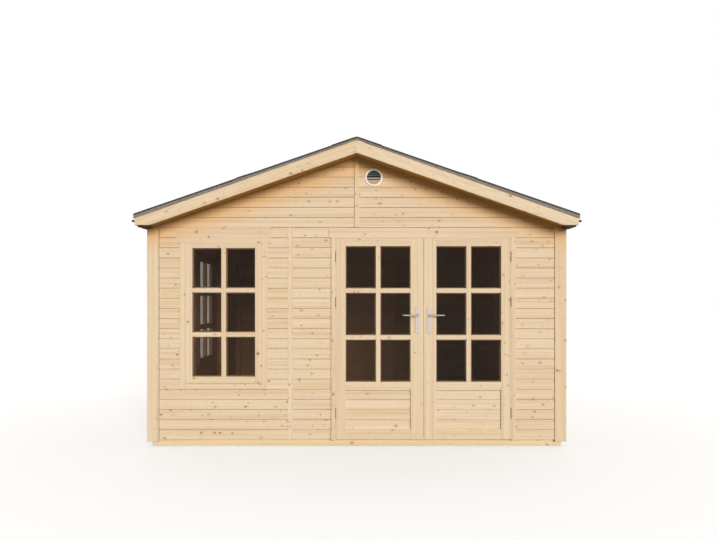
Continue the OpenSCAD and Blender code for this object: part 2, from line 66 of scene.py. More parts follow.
def solids(node):
    """Boxes of the separate solids of a CAD node, as (low, high) corners in a fixed order."""
    shell = bmesh.new()
    shell.from_mesh(frame["nodes"][node].data)
    bmesh.ops.remove_doubles(shell, verts=shell.verts, dist=1e-5)
    shell.verts.index_update()
    seen = set()
    boxes = []
    for first in shell.verts:
        if first.index in seen:
            continue
        seen.add(first.index)
        waiting = [first]
        corners = []
        while waiting:
            vert = waiting.pop()
            corners.append(vert.co)
            for edge in vert.link_edges:
                other = edge.other_vert(vert)
                if other.index not in seen:
                    seen.add(other.index)
                    waiting.append(other)
        boxes.append(box_of(corners))
    shell.free()
    return sorted(boxes, key=lambda box: tuple(round(v, 3) for v in (*box[0], *box[1])))


def pick_board():
    """A board off the pile: where its growth rings lie, and how warm and how dark it is."""
    pith = Vector((chance.uniform(0, 60), chance.uniform(-0.09, 0.09), chance.uniform(0.03, 0.2)))
    return pith, chance.random(), chance.random()


def join_rings(shell, rings):
    """Faces between neighbouring rings of points, where a ring of one point is a tip."""
    for low, high in zip(rings, rings[1:]):
        count = max(len(low), len(high))
        for i in range(count):
            j = (i + 1) % count
            corners = [low[i % len(low)], low[j % len(low)], high[j % len(high)], high[i % len(high)]]
            shell.faces.new(list(dict.fromkeys(corners)))


def close_rings(shell, rings):
    """A closed solid through rings of points."""
    shell.faces.new(rings[0])
    shell.faces.new(rings[-1])
    join_rings(shell, rings)


def saw(stack, board, place, outline, span, fibre, ease=EASE, eased=None):
    """Adds one board to a stack: an outline cut from span[0] to span[1], with its edges eased, or
    only those that a function picks. The fibre runs along or up the outline, or through it."""
    shell = bmesh.new()
    close_rings(shell, [[shell.verts.new((a, b, level)) for a, b in outline] for level in span])
    bmesh.ops.recalc_face_normals(shell, faces=shell.faces)
    edges = [edge for edge in shell.edges if eased is None or eased(*(v.co for v in edge.verts))]
    if ease and edges:
        bmesh.ops.bevel(shell, geom=edges, offset=ease, segments=2, profile=0.5, affect="EDGES",
                        clamp_overlap=True)
    shell.verts.index_update()
    pith, warmth, depth = board
    first = len(stack["points"])
    for vert in shell.verts:
        stack["points"].append(place @ vert.co)
        stack["fibre"].append(Vector(vert.co[(fibre + i) % 3] for i in range(3)) + pith)
        stack["warmth"].append(warmth)
        stack["depth"].append(depth)
    for face in shell.faces:
        stack["faces"].append([first + vert.index for vert in face.verts])
    shell.free()


def new_stack():
    return {"points": [], "faces": [], "fibre": [], "warmth": [], "depth": []}


def rectangle(low, high):
    return [(low[0], low[1]), (high[0], low[1]), (high[0], high[1]), (low[0], high[1])]


def stick(stack, low, high, ease=EASE):
    """A squared timber with its fibre along its longest side."""
    size = high - low
    fibre = max(range(3), key=lambda axis: size[axis])
    saw(stack, pick_board(), Matrix.Translation(low), rectangle((0, 0), size), (0, size.z), fibre, ease)


def stand(name, data):
    """Stands a new object in the scene."""
    made = bpy.data.objects.new(name, data)
    bpy.context.collection.objects.link(made)
    return made


def mount(name, mesh, finish, body, nodes):
    """Makes one piece of a mesh, on a body, in place of the CAD nodes that it stands for."""
    mesh.materials.append(finish)
    piece = stand(name, mesh)
    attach(piece, body)
    if nodes:
        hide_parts(*nodes)


def put_up(name, stack, finish, body, *nodes):
    """Makes one piece of a stack of boards."""
    mesh = bpy.data.meshes.new(name)
    mesh.from_pydata(stack["points"], [], stack["faces"])
    fibre = mesh.attributes.new("fibre", "FLOAT_VECTOR", "POINT")
    fibre.data.foreach_set("vector", [value for point in stack["fibre"] for value in point])
    for key in ("warmth", "depth"):
        mesh.attributes.new(key, "FLOAT", "POINT").data.foreach_set("value", stack[key])
    mount(name, mesh, finish, body, nodes)


def timbers(name, node, finish, ease=EASE):
    """Puts up each solid of a node as a squared timber."""
    stack = new_stack()
    for low, high in solids(node):
        stick(stack, low, high, ease)
    put_up(name, stack, finish, "cabin", node)


def feed(tree, made, inputs):
    """Sets the inputs of a shader node. Each takes a value or another node's output."""
    for socket, value in inputs.items():
        if isinstance(value, bpy.types.NodeSocket):
            tree.links.new(value, made.inputs[socket])
        else:
            made.inputs[socket].default_value = value


def add(tree, kind, inputs, **settings):
    """Adds a shader node and gives its outputs."""
    made = tree.nodes.new(kind)
    for key, value in settings.items():
        setattr(made, key, value)
    feed(tree, made, inputs)
    return made.outputs


def sums(tree, operation, *values):
    """Output of a math node over the values."""
    return add(tree, "ShaderNodeMath", dict(enumerate(values)), operation=operation)[0]


def vectors(tree, operation, *values):
    """Outputs of a vector math node over the values."""
    return add(tree, "ShaderNodeVectorMath", dict(enumerate(values)), operation=operation)


def ramp(tree, value, low, high, start=0.0, end=1.0):
    """Output of a value eased from start at low to end at high."""
    return add(tree, "ShaderNodeMapRange", {0: value, 1: low, 2: high, 3: start, 4: end},
               interpolation_type="SMOOTHSTEP")[0]


def blend(tree, share, first, second):
    """Output of two colours mixed by a share."""
    return add(tree, "ShaderNodeMix", {0: share, 6: first, 7: second}, data_type="RGBA")[2]


def cloud(tree, vector, scale, detail=2.0):
    """Output of a noise texture's value."""
    return add(tree, "ShaderNodeTexNoise", {"Vector": vector, "Scale": scale, "Detail": detail})[0]


def mark(tree, name):
    """Outputs of a value that the mesh carries."""
    return add(tree, "ShaderNodeAttribute", {}, attribute_name=name)


def bump(tree, height, strength, distance):
    """Output of a normal raised by a height."""
    return add(tree, "ShaderNodeBump", {"Height": height, "Strength": strength, "Distance": distance})[0]


def new_group(name, inputs, outputs):
    """A shader node group with its named sockets, its input values and its end node."""
    group = bpy.data.node_groups.new(name, "ShaderNodeTree")
    for label, kind, value in inputs:
        socket = group.interface.new_socket(label, in_out="INPUT", socket_type="NodeSocket" + kind)
        if value is not None:
            socket.default_value = value
    for label in outputs:
        group.interface.new_socket(label, in_out="OUTPUT", socket_type="NodeSocketFloat")
    return group, group.nodes.new("NodeGroupInput").outputs, group.nodes.new("NodeGroupOutput")


def place_group(tree, group, inputs):
    """Outputs of a node group placed in a material."""
    return add(tree, "ShaderNodeGroup", inputs, node_tree=group)


def new_finish(name):
    """A new material, its node tree and its shader."""
    made = bpy.data.materials.new(name)
    made.use_nodes = True
    return made, made.node_tree, made.node_tree.nodes["Principled BSDF"]


# Knots: scattered through the timber, some of them missing, each an egg a little longer along the
# fibre that a face cuts anywhere, with a darker rim and a halo where the fibre bends round it.
KNOT_CELLS = (11.0, 23.0, 27.0)
KNOT_SHAPE = (0.68, 1.0, 0.6)
KNOT_RAGGED = 0.003
KNOT_CORE = (0.7, 1.1)
RIM_INSIDE = (0.55, 0.9)
RIM_OUTSIDE = (0.95, 1.2)
HALO_REACH = (0.8, 3.4)
knots, knot_in, knot_end = new_group(
    "spruce_knots", [("Fibre", "Vector", None), ("Size", "Float", 0.008), ("Share", "Float", 0.6)],
    ("Knot", "Rim", "Halo"))
scaled = vectors(knots, "MULTIPLY", knot_in["Fibre"], KNOT_CELLS)[0]
cell = add(knots, "ShaderNodeTexVoronoi", {"Vector": scaled, "Scale": 1.0})
away = vectors(knots, "SUBTRACT", scaled, cell["Position"])[0]
knot_scale = tuple(shape / cells for shape, cells in zip(KNOT_SHAPE, KNOT_CELLS))
distance = vectors(knots, "LENGTH", vectors(knots, "MULTIPLY", away, knot_scale)[0])[1]
distance = sums(knots, "MULTIPLY_ADD", cloud(knots, knot_in["Fibre"], 160.0), KNOT_RAGGED, distance)
draw = add(knots, "ShaderNodeSeparateColor", {0: cell["Color"]})
grown = sums(knots, "LESS_THAN", draw[0], knot_in["Share"])
spread = sums(knots, "MULTIPLY_ADD", sums(knots, "POWER", draw[1], 2.6), 1.3, 0.45)
radius = sums(knots, "MULTIPLY", sums(knots, "MULTIPLY", knot_in["Size"], spread), grown)
radii = sums(knots, "DIVIDE", distance, sums(knots, "MAXIMUM", radius, 1e-5))
strength = sums(knots, "MULTIPLY_ADD", draw[2], 0.5, 0.5)
rim_in = ramp(knots, radii, *RIM_INSIDE)
rim_out = ramp(knots, radii, *RIM_OUTSIDE, 1.0, 0.0)
shares = {"Knot": ramp(knots, radii, *KNOT_CORE, 1.0, 0.0), "Rim": sums(knots, "MULTIPLY", rim_in, rim_out),
          "Halo": ramp(knots, radii, *HALO_REACH, 1.0, 0.0)}
feed(knots, knot_end, {label: sums(knots, "MULTIPLY", share, strength) for label, share in shares.items()})

# Grain: growth rings round the pith, wandering along the length and bent by the knots, with fine
# fibres over them and broad pale and dark streaks.
RING_WANDER = 0.05
RING_BEND = 0.005
grain, grain_in, grain_end = new_group(
    "spruce_grain",
    [("Fibre", "Vector", None), ("Halo", "Float", 0.0), ("Ring width", "Float", 0.0036)],
    ("Ring", "Fine", "Band", "Streak"))


def fibres(along, across, detail):
    """Output of noise in the grain, at one scale along the fibre and another across it."""
    drawn = vectors(grain, "MULTIPLY", grain_in["Fibre"], (along, across, across))[0]
    return cloud(grain, drawn, 1.0, detail)


from_pith = vectors(grain, "MULTIPLY", grain_in["Fibre"], (0.0, 1.0, 1.0))[0]
pith_radius = vectors(grain, "LENGTH", from_pith)[1]
pith_radius = sums(grain, "MULTIPLY_ADD", fibres(0.8, 5.0, 3.0), RING_WANDER, pith_radius)
pith_radius = sums(grain, "MULTIPLY_ADD", grain_in["Halo"], RING_BEND, pith_radius)
ring = sums(grain, "FRACT", sums(grain, "DIVIDE", pith_radius, grain_in["Ring width"]))
feed(grain, grain_end, {"Ring": sums(grain, "POWER", ring, 2.4), "Fine": fibres(5.0, 380.0, 3.0),
                        "Band": fibres(0.7, 85.0, 2.0), "Streak": fibres(0.55, 26.0, 3.0)})


def srgb(red, green, blue):
    """A colour written as it looks on screen."""
    def linear(value):
        value /= 255
        return value / 12.92 if value <= 0.04045 else ((value + 0.055) / 1.055) ** 2.4
    return (linear(red), linear(green), linear(blue), 1.0)


KNOT_BROWN = srgb(152, 106, 64)
KNOT_RIM = srgb(114, 74, 42)
# Warm, darker tone painted on the wood as shade close under the roof.
PAINTED_SHADE_TONE = srgb(224, 166, 90)
FINE_DARK = 0.16
HALO_DARK = 0.22
BOARD_DARK = 0.12
BAND = (0.36, 0.7, -0.05, 0.16)
STREAK = (0.42, 0.78, 0.0, 0.27)
KNOT_SHARE = 0.85
RIM_SHARE = 0.7
PLANED_GLOSS = 0.3
GRAIN_BUMP = (0.35, 0.0006)


def spruce(name, cool, warm, late, knot_size, knot_share, ring_share, roughness, painted_shade=None):
    """A spruce finish between two board colours, with darker late wood in the rings. A function of the
    node tree, if given, gives the share of a warm, darker tone painted on as shade close under the roof."""
    made, tree, shader = new_finish(name)
    fibre = mark(tree, "fibre")["Vector"]
    knot = place_group(tree, knots, {"Fibre": fibre, "Size": knot_size, "Share": knot_share})
    lines = place_group(tree, grain, {"Fibre": fibre, "Halo": knot["Halo"]})
    colour = blend(tree, mark(tree, "warmth")["Fac"], cool, warm)
    darker = sums(tree, "MULTIPLY_ADD", lines["Ring"], ring_share, -0.04)
    # A board's own darkness, which the tongues carry high as painted shade in the gaps.
    for share, dark in ((lines["Fine"], FINE_DARK), (knot["Halo"], HALO_DARK),
                        (mark(tree, "depth")["Fac"], BOARD_DARK)):
        darker = sums(tree, "MULTIPLY_ADD", share, dark, darker)
    darker = sums(tree, "ADD", darker, ramp(tree, lines["Band"], *BAND))
    darker = sums(tree, "ADD", darker, ramp(tree, lines["Streak"], *STREAK))
    colour = blend(tree, darker, colour, late)
    # Painted shade: a warm, darker tone close under the roof.
    if painted_shade:
        colour = blend(tree, painted_shade(tree), colour, PAINTED_SHADE_TONE)
    colour = blend(tree, sums(tree, "MULTIPLY", knot["Knot"], KNOT_SHARE), colour, KNOT_BROWN)
    colour = blend(tree, sums(tree, "MULTIPLY", knot["Rim"], RIM_SHARE), colour, KNOT_RIM)
    rough = sums(tree, "MULTIPLY_ADD", lines["Fine"], 0.18, roughness - 0.09)
    rough = sums(tree, "MULTIPLY_ADD", knot["Knot"], -0.12, rough)
    height = sums(tree, "MULTIPLY_ADD", lines["Ring"], 0.5, lines["Fine"])
    height = sums(tree, "MULTIPLY_ADD", knot["Knot"], 0.6, height)
    feed(tree, shader, {"Base Color": colour, "Roughness": rough, "Specular IOR Level": PLANED_GLOSS,
                        "Normal": bump(tree, height, *GRAIN_BUMP)})
    return made


sawn_spruce = spruce("sawn_spruce", srgb(236, 210, 170), srgb(238, 210, 160), srgb(202, 160, 108),
                     knot_size=0.0065, knot_share=0.8, ring_share=0.3, roughness=0.72)
timbers("base_rail_timbers", "base_rails", sawn_spruce, RAIL_EASE)
timbers("base_joist_timbers", "base_joists", sawn_spruce, JOIST_EASE)


# Floor: planed spruce boards laid across the joists, tongued together and nailed down.
# Their edges are eased, so a fine groove shows between one board and the next.

FLOOR_BOARDS = 32
floor_spruce = spruce("floor_spruce", srgb(233, 207, 172), srgb(231, 203, 160), srgb(196, 152, 104),
                      knot_size=0.0065, knot_share=0.8, ring_share=0.28, roughness=0.55)
floor_low, floor_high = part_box("floor")
floor_cover = (floor_high.y - floor_low.y) / FLOOR_BOARDS
floor_stack = new_stack()
for course in range(FLOOR_BOARDS):
    near = floor_low.y + course * floor_cover
    stick(floor_stack, Vector((floor_low.x, near, floor_low.z)),
          Vector((floor_high.x, near + floor_cover, floor_high.z)))
put_up("floor_boards", floor_stack, floor_spruce, "cabin", "floor")


# Posts: the corner posts are squared cores with a planed board nailed over each outer face, cut to
# the slope under the roof. The joint posts are slimmer and clamp the ends of two wall panels. Close
# under the roof a warm, darker tone is painted on the wood as shade.

ALONG, UP, THROUGH = 0, 1, 2
BOARD_T = 0.019
ROOF_PITCH = math.radians(19)
# How far under the roof the painted shade reaches, and how strong it is.
PAINTED_SHADE_DROP = (0.07, 0.38)
PAINTED_SHADE_SHARE = 0.8
POST_EASE = 0.0025
POST_BACK = 0.008
JOINT_EASE = 0.002
JOINT_GAP = 0.0012
wall_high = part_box("back_wall")[1]
wall_out = wall_high.y
wall_top = wall_high.z
wall_in = wall_out - BOARD_T
slope = math.tan(ROOF_PITCH)
post_low, post_high = solids("corner_posts")[-1]
post_in = post_low.x
post_out = post_high.x
beam_low, beam_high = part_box("eave_beams")
eave_z = beam_high.z - (wall_out - post_in) * slope
ridge_z = eave_z + wall_out * slope


def set_up(along, up, out, origin=(0, 0, 0)):
    """Frame of a piece: the directions along it, up it and out from it, at an origin."""
    return Matrix.Translation(origin) @ Matrix((along, up, out)).transposed().to_4x4()


def flipped(points, side):
    """Outline points moved to the left or right of the middle."""
    return [(side * x, z) for x, z in points]


def where(tree):
    """Output of the place on a piece, in the frame that all pieces share at rest."""
    return add(tree, "ShaderNodeTexCoord", {})["Object"]


def painted_shade_under_verge(tree):
    """Share of a warm, darker tone painted on the boards as shade close under the roof."""
    axes = add(tree, "ShaderNodeSeparateXYZ", {0: where(tree)})
    rise = sums(tree, "MULTIPLY_ADD", sums(tree, "ABSOLUTE", axes[0]), slope, axes[2])
    drop = sums(tree, "SUBTRACT", ridge_z, rise)
    return ramp(tree, drop, *PAINTED_SHADE_DROP, PAINTED_SHADE_SHARE, 0.0)


post_spruce = spruce("post_spruce", srgb(229, 206, 178), srgb(227, 203, 168), srgb(198, 160, 116),
                     knot_size=0.0055, knot_share=0.8, ring_share=0.28, roughness=0.62,
                     painted_shade=painted_shade_under_verge)
FRONT = set_up((1, 0, 0), (0, 0, 1), (0, -1, 0))
UPRIGHT = Matrix.Identity(4)
corner_stack = new_stack()
eave_cut = post_high.z - (post_out - post_in) * slope
post_outline = [(post_in, post_low.z), (post_out, post_low.z), (post_out, eave_cut), (post_in, post_high.z)]
for side in (-1, 1):
    for end in (-1, 1):
        span = sorted((end * (post_out - POST_BACK), end * wall_out))
        saw(corner_stack, pick_board(), FRONT, flipped(post_outline, side), span, UP, POST_EASE)
        reach = sorted((end * post_in, end * wall_out))
        edge = sorted((side * wall_out, side * post_out))
        core = sorted((side * post_in, side * wall_out))
        saw(corner_stack, pick_board(), UPRIGHT, rectangle(*zip(edge, reach)), (post_low.z, eave_cut),
            THROUGH, POST_EASE)
        saw(corner_stack, pick_board(), UPRIGHT, rectangle(*zip(core, reach)), (floor_high.z, wall_top),
            THROUGH)
put_up("corner_post_boards", corner_stack, post_spruce, "cabin", "corner_posts")

plate_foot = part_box("wall_plates")[0].z
joint_stack = new_stack()
for low, high in solids("joint_posts"):
    through = 1 if abs(low.y + high.y) > wall_in else 0
    side = 1 if low[through] > 0 else -1
    outer = sorted((side * wall_in, high[through] if side > 0 else low[through]))
    inner = sorted((side * wall_in, low[through] if side > 0 else high[through]))
    for span, foot, head in ((outer, low.z, high.z), (inner, floor_high.z, plate_foot)):
        near, far = Vector(low), Vector(high)
        near[through], far[through] = span
        near[1 - through] += JOINT_GAP
        far[1 - through] -= JOINT_GAP
        near.z, far.z = foot, head
        stick(joint_stack, near, far, JOINT_EASE)
put_up("joint_post_timbers", joint_stack, post_spruce, "cabin", "joint_posts")
timbers("wall_plate_timbers", "wall_plates", post_spruce)


# Walls: 19 mm spruce boards with chamfered edges, tongued into each other and slotted into the
# posts. The boards beside a window are sawn short, and those over and under it are notched. A thin
# dark slip in the groove beside the left front post is painted shade, and the tongues in the gaps are
# painted darker as shade.

BOARD_COVER = 0.089
CHAMFER = 0.003
BOARD_STAGGER = 0.0004
BOARD_GAP = 0.0032
TONGUE = (0.004, 0.010)
# Tongues carry a high darkness: painted shade in the gaps between boards.
TONGUE_PAINTED_SHADE = 6.0
END_GROOVE = 0.003
SLIP = (0.002, 0.0165)
SLIP_EASE = 0.0005
SLIP_BOARD = (Vector(), 0.5, 0.5)
JAMB_SLIM = Vector((0.011, 0, 0))
SAME = 1e-6
wall_spruce = spruce("wall_spruce", srgb(231, 209, 182), srgb(228, 206, 170), srgb(196, 156, 110),
                     knot_size=0.0052, knot_share=0.9, ring_share=0.28, roughness=0.62,
                     painted_shade=painted_shade_under_verge)
# A dark spruce that is painted shade: the slip in the groove by the left front post and the blocks under
# the level ends of the verges.
painted_shade_spruce = spruce("painted_shade_spruce", srgb(62, 44, 26), srgb(56, 39, 22), srgb(38, 26, 14),
                        knot_size=0.006, knot_share=0.4, ring_share=0.3, roughness=0.75)


def facing(low, high):
    """Frame of a flat piece in a wall: along it, up, and out from its inside face."""
    size = high - low
    axis = 0 if size.x < size.y else 1
    outward = Vector((0, 0, 0))
    outward[axis] = 1 if low[axis] + high[axis] > 0 else -1
    up = Vector((0, 0, 1))
    turn = set_up(up.cross(outward), up, outward)
    near, far = box_of(turn.inverted() @ corner for corner in (low, high))
    return turn @ Matrix.Translation(near), far - near


def board_edges(foot, head, face):
    """Picks the long edges of a board's outer face, which are chamfered."""
    def picked(start, end):
        level = abs(start.y - end.y) < SAME
        outer = abs(start.z - face) < SAME and abs(end.z - face) < SAME
        return level and outer and min(abs(start.y - foot), abs(start.y - head)) < SAME
    return picked


def board_pieces(length, foot, head, hole):
    """Outlines of one course of boards, around the hole (left, foot, right, head) if there is one."""
    if hole is None or head <= hole[1] or foot >= hole[3]:
        return [rectangle((0, foot), (length, head))]
    left, sill, right, top = hole
    if foot >= sill and head <= top:
        return [rectangle((0, foot), (left, head)), rectangle((right, foot), (length, head))]
    if foot < sill:
        return [[(0, foot), (length, foot), (length, head), (right, head), (right, sill),
                 (left, sill), (left, head), (0, head)]]
    return [[(0, foot), (left, foot), (left, top), (right, top), (right, foot),
             (length, foot), (length, head), (0, head)]]


def tongue(stack, board, place, ends, foot, head, span=TONGUE):
    """The tongue that shows, set back and in shade, in the gap over a board, and painted darker there as
    shade.
    """
    saw(stack, (board[0], board[1], TONGUE_PAINTED_SHADE), place, rectangle((ends[0], foot), (ends[1], head)),
        span, ALONG, 0)


def wall_panel(stack, low, high, hole_box=None):
    """A panel of boards, one on the other, with a hole for a window."""
    place, size = facing(low, high)
    hole = None
    if hole_box:
        near, far = box_of(place.inverted() @ corner for corner in hole_box)
        hole = (near.x, near.y, far.x, far.y)
    courses = round(size.y / BOARD_COVER)
    for course in range(courses):
        foot = course * BOARD_COVER + BOARD_GAP / 2
        head = foot + BOARD_COVER - BOARD_GAP
        face = size.z + chance.uniform(-BOARD_STAGGER, BOARD_STAGGER)
        board = pick_board()
        for outline in board_pieces(size.x, foot, head, hole):
            saw(stack, board, place, outline, (0, face), ALONG, CHAMFER, board_edges(foot, head, face))
        spans = [(0, size.x)]
        if hole and hole[1] < (course + 1) * BOARD_COVER < hole[3]:
            spans = [(0, hole[0]), (hole[2], size.x)]
        for ends in spans if course + 1 < courses else []:
            tongue(stack, board, place, ends, head, head + BOARD_GAP)


shade_slip_stack = new_stack()
left_sash, front_sash = sorted(solids("window_sashes"), key=lambda box: box[1].x)
for node, hole_box in (("front_window_panel", front_sash), ("front_infill_panels", None),
                       ("back_wall", None), ("left_window_panel", left_sash), ("left_wall", None),
                       ("right_wall", None)):
    panel_stack = new_stack()
    for low, high in solids(node):
        # The dark slip beside the left front post is painted shade in its groove.
        if node == "front_window_panel":
            low = Vector((END_GROOVE - post_in, low.y, low.z))
            place, size = facing(low, high)
            slip = rectangle((-END_GROOVE, 0), (0, size.y))
            saw(shade_slip_stack, SLIP_BOARD, place, slip, SLIP, UP, SLIP_EASE)
        if node == "front_infill_panels":
            low, high = (low, high + JAMB_SLIM) if low.x < 0 else (low - JAMB_SLIM, high)
        wall_panel(panel_stack, low, high, hole_box)
    put_up(node + "_boards", panel_stack, wall_spruce, "cabin", node)
put_up("corner_shade_slip", shade_slip_stack, painted_shade_spruce, "cabin")


# Gables: the same boards carried up to the roof in two halves that meet under a cover strip, and
# sawn to the slope. The front one is cut out round for the vent.

VENT_RING = 0.012
ARC_STEPS = 14
STRIP_EASE = 0.002
vent_low, vent_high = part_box("gable_vent")
vent_middle = (vent_low + vent_high) / 2
vent_r = (vent_high.x - vent_low.x) / 2
vent_hole = vent_r - VENT_RING
gable_top = ridge_z - CHAMFER
BACK = Matrix.Rotation(math.pi, 4, "Z") @ FRONT


def evenly(start, end, steps):
    """Values from start to end in even steps."""
    return [start + (end - start) * step / steps for step in range(steps + 1)]


def under_roof(z):
    """Half the width of the gable at a height."""
    return wall_out if z <= eave_z else (ridge_z - z) / slope


def gable_edge(z, hole, up):
    """One long edge of a gable board, with the arc of the vent hole where it crosses that edge."""
    ends = [(0.0, z), (under_roof(z), z)]
    if hole is None or abs(z - hole[1]) >= hole[2]:
        return ends
    x, height, radius = hole
    start = math.asin((z - height) / radius)
    arc = [(x + radius * math.cos(angle), height + radius * math.sin(angle))
           for angle in evenly(math.pi - start, start if up else math.tau + start, ARC_STEPS)]
    return ends[:1] + arc + ends[1:]


def gable_half(stack, place, side, hole):
    """The boards of one half of a gable, from the wall up to the ridge."""
    back = place @ Matrix.Translation((0, 0, wall_in))
    for course in range(math.ceil((gable_top - wall_top) / BOARD_COVER)):
        level = wall_top + course * BOARD_COVER
        foot = level + BOARD_GAP / 2
        head = min(foot + BOARD_COVER - BOARD_GAP, gable_top)
        board = pick_board()
        kink = [(wall_out, eave_z)] if foot < eave_z < head else []
        outline = gable_edge(foot, hole, True) + kink + gable_edge(head, hole, False)[::-1]
        face = wall_out + chance.uniform(-BOARD_STAGGER, BOARD_STAGGER)
        saw(stack, board, place, flipped(outline, side), (wall_in, face), ALONG, CHAMFER,
            board_edges(foot, head, face))
        cuts = [side * x for x, z in gable_edge(level, hole, True)]
        for ends in (cuts[:2], cuts[-2:]) if len(cuts) > 2 else [cuts]:
            tongue(stack, board, back, sorted(ends), level - BOARD_GAP / 2, foot)


for node, place in (("front_gable", FRONT), ("back_gable", BACK)):
    gable_stack = new_stack()
    for side in (-1, 1):
        hole = (vent_middle.x, vent_middle.z, vent_hole) if (node, side) == ("front_gable", 1) else None
        gable_half(gable_stack, place, side, hole)
    put_up(node + "_boards", gable_stack, wall_spruce, "cabin", node)

TRIM_TONES = (srgb(229, 207, 179), srgb(227, 204, 168), srgb(198, 160, 116))
trim_spruce = spruce("trim_spruce", *TRIM_TONES, knot_size=0.0052, knot_share=0.75, ring_share=0.26,
                     roughness=0.6, painted_shade=painted_shade_under_verge)
strip_low, strip_high = solids("gable_strips")[0]
strip_half = strip_high.x
strip_side = strip_high.z - strip_half * slope
strip_outline = [(-strip_half, wall_top), (strip_half, wall_top), (strip_half, strip_side),
                 (0, strip_high.z), (-strip_half, strip_side)]
strip_stack = new_stack()
for place in (FRONT, BACK):
    saw(strip_stack, pick_board(), place, strip_outline, (wall_out, -strip_low.y), UP, STRIP_EASE)
put_up("gable_strip_boards", strip_stack, trim_spruce, "cabin", "gable_strips")


# Windows: a planed sash of stiles, rails and glazing bars, framed outside by narrow casings and a
# wider head board. Small beads inside hold each pane in its groove.

CASING_W = 0.052
CASING_BACK = 0.008
HEAD_BACK = 0.013
HEAD_EASE = 0.001
SILL_GAP = 0.003
SASH_STILE = 0.058
SASH_TOP = 0.045
BAR_W = 0.0405
BEAD = 0.009
BEAD_BACK = 0.003
BEAD_EASE = 0.002
FRAME_EASE = 0.0026
GLASS_T = 0.004
PANE_ROWS = 3


def local_board(stack, place, low, high, fibre, ease=FRAME_EASE):
    """A planed board between two corners of a piece's own frame."""
    saw(stack, pick_board(), place, rectangle(low, high), (low[2], high[2]), fibre, ease)


def beads(stack, place, left, foot, right, head, front):
    """Four beads round a pane, between its inside face and the glass."""
    for a in (left, right - BEAD):
        local_board(stack, place, (a, foot, BEAD_BACK), (a + BEAD, head, front), UP, BEAD_EASE)
    for b in (foot, head - BEAD):
        local_board(stack, place, (left + BEAD, b, BEAD_BACK), (right - BEAD, b + BEAD, front), ALONG,
                    BEAD_EASE)


def glazing(stack, place, left, foot, right, head, depth):
    """Bars that divide an opening into two by three panes, with a bead round each pane."""
    middle = (left + right) / 2
    pane_h = (head - foot - (PANE_ROWS - 1) * BAR_W) / PANE_ROWS
    local_board(stack, place, (middle - BAR_W / 2, foot, 0), (middle + BAR_W / 2, head, depth), UP)
    for a0, a1 in ((left, middle - BAR_W / 2), (middle + BAR_W / 2, right)):
        for row in range(PANE_ROWS):
            b0 = foot + row * (pane_h + BAR_W)
            if row:
                local_board(stack, place, (a0, b0 - BAR_W, 0), (a1, b0, depth), ALONG)
            beads(stack, place, a0, b0, a1, b0 + pane_h, (depth - GLASS_T) / 2)


def glazed_frame(stack, place, size, left, right, rails, ease=FRAME_EASE):
    """Two stiles with rails between them, and panes between the last two rails."""
    for a0, a1 in ((0, left), (right, size.x)):
        local_board(stack, place, (a0, 0, 0), (a1, size.y, size.z), UP, ease)
    for b0, b1 in rails:
        local_board(stack, place, (left, b0, 0), (right, b1, size.z), ALONG, ease)
    glazing(stack, place, left, rails[-2][1], right, rails[-1][0], size.z)


def thinned(low, high, back):
    """Corners of a head board planed down until it lies flush with what is below it."""
    low = Vector(low)
    low[0 if high.x - low.x < high.y - low.y else 1] += back
    return low, high


sash_stack = new_stack()
casing_stack = new_stack()
head_stack = new_stack()
for low, high in solids("window_sashes"):
    place, size = facing(low, high)
    glazed_frame(sash_stack, place, size, SASH_STILE, size.x - SASH_STILE,
                 ((0, SASH_STILE), (size.y - SASH_TOP, size.y)))
for low, high in solids("window_casings"):
    place, size = facing(low, high)
    face = size.z - CASING_BACK
    right = size.x - CASING_W
    for a in (0, right):
        local_board(casing_stack, place, (a, 0, 0), (a + CASING_W, size.y, face), UP)
    local_board(casing_stack, place, (CASING_W, 0, 0), (right, CASING_W - SILL_GAP, face), ALONG)
for low, high in solids("window_heads"):
    stick(head_stack, *thinned(low, high, HEAD_BACK), HEAD_EASE)
put_up("window_sash_frames", sash_stack, trim_spruce, "cabin", "window_sashes")
put_up("window_casing_boards", casing_stack, trim_spruce, "cabin", "window_casings")
put_up("window_head_boards", head_stack, trim_spruce, "cabin", "window_heads")


# Glass: float glass, a little tinted, set in the grooves of the sash and the door leaves. Its faces
# are very slightly wavy, with patches of a thin film of dust, and lamp light comes through tinted.

GLASS_TINT = (0.54, 0.50, 0.46, 1.0)
LAMP_TINT = (0.60, 0.51, 0.42, 1.0)
GLASS_IOR = 1.2
RIPPLE_BUMP = (0.05, 0.002)
dust, dust_in, dust_end = new_group(
    "dust_film", [("Vector", "Vector", None), ("Amount", "Float", 0.1)], ("Dust",))
patches = ramp(dust, cloud(dust, dust_in["Vector"], 6.0, 6.0), 0.45, 0.8)
feed(dust, dust_end, {"Dust": sums(dust, "MULTIPLY", patches, dust_in["Amount"])})
glass, glass_tree, glass_shader = new_finish("window_pane")
glass_where = where(glass_tree)
ripple = cloud(glass_tree, glass_where, 3.0, 1.0)
film = place_group(glass_tree, dust, {"Vector": glass_where, "Amount": 0.06})["Dust"]
feed(glass_tree, glass_shader, {"Base Color": GLASS_TINT, "Transmission Weight": 1.0, "IOR": GLASS_IOR,
                                "Roughness": film, "Normal": bump(glass_tree, ripple, *RIPPLE_BUMP)})
lamp_share = add(glass_tree, "ShaderNodeBsdfTransparent", {"Color": LAMP_TINT})[0]
lamp_rays = add(glass_tree, "ShaderNodeLightPath", {})["Is Shadow Ray"]
both = add(glass_tree, "ShaderNodeMixShader", {0: lamp_rays, 1: glass_shader.outputs[0], 2: lamp_share})[0]
feed(glass_tree, glass_tree.nodes["Material Output"], {"Surface": both})
for node in ("window_glass", "left_door_glass", "right_door_glass"):
    frame["nodes"][node].material_slots[0].material = glass


# Door frame: studs, stop bars and a lintel behind, and planed jambs and a head board outside, all
# screwed to the base and the wall plate.

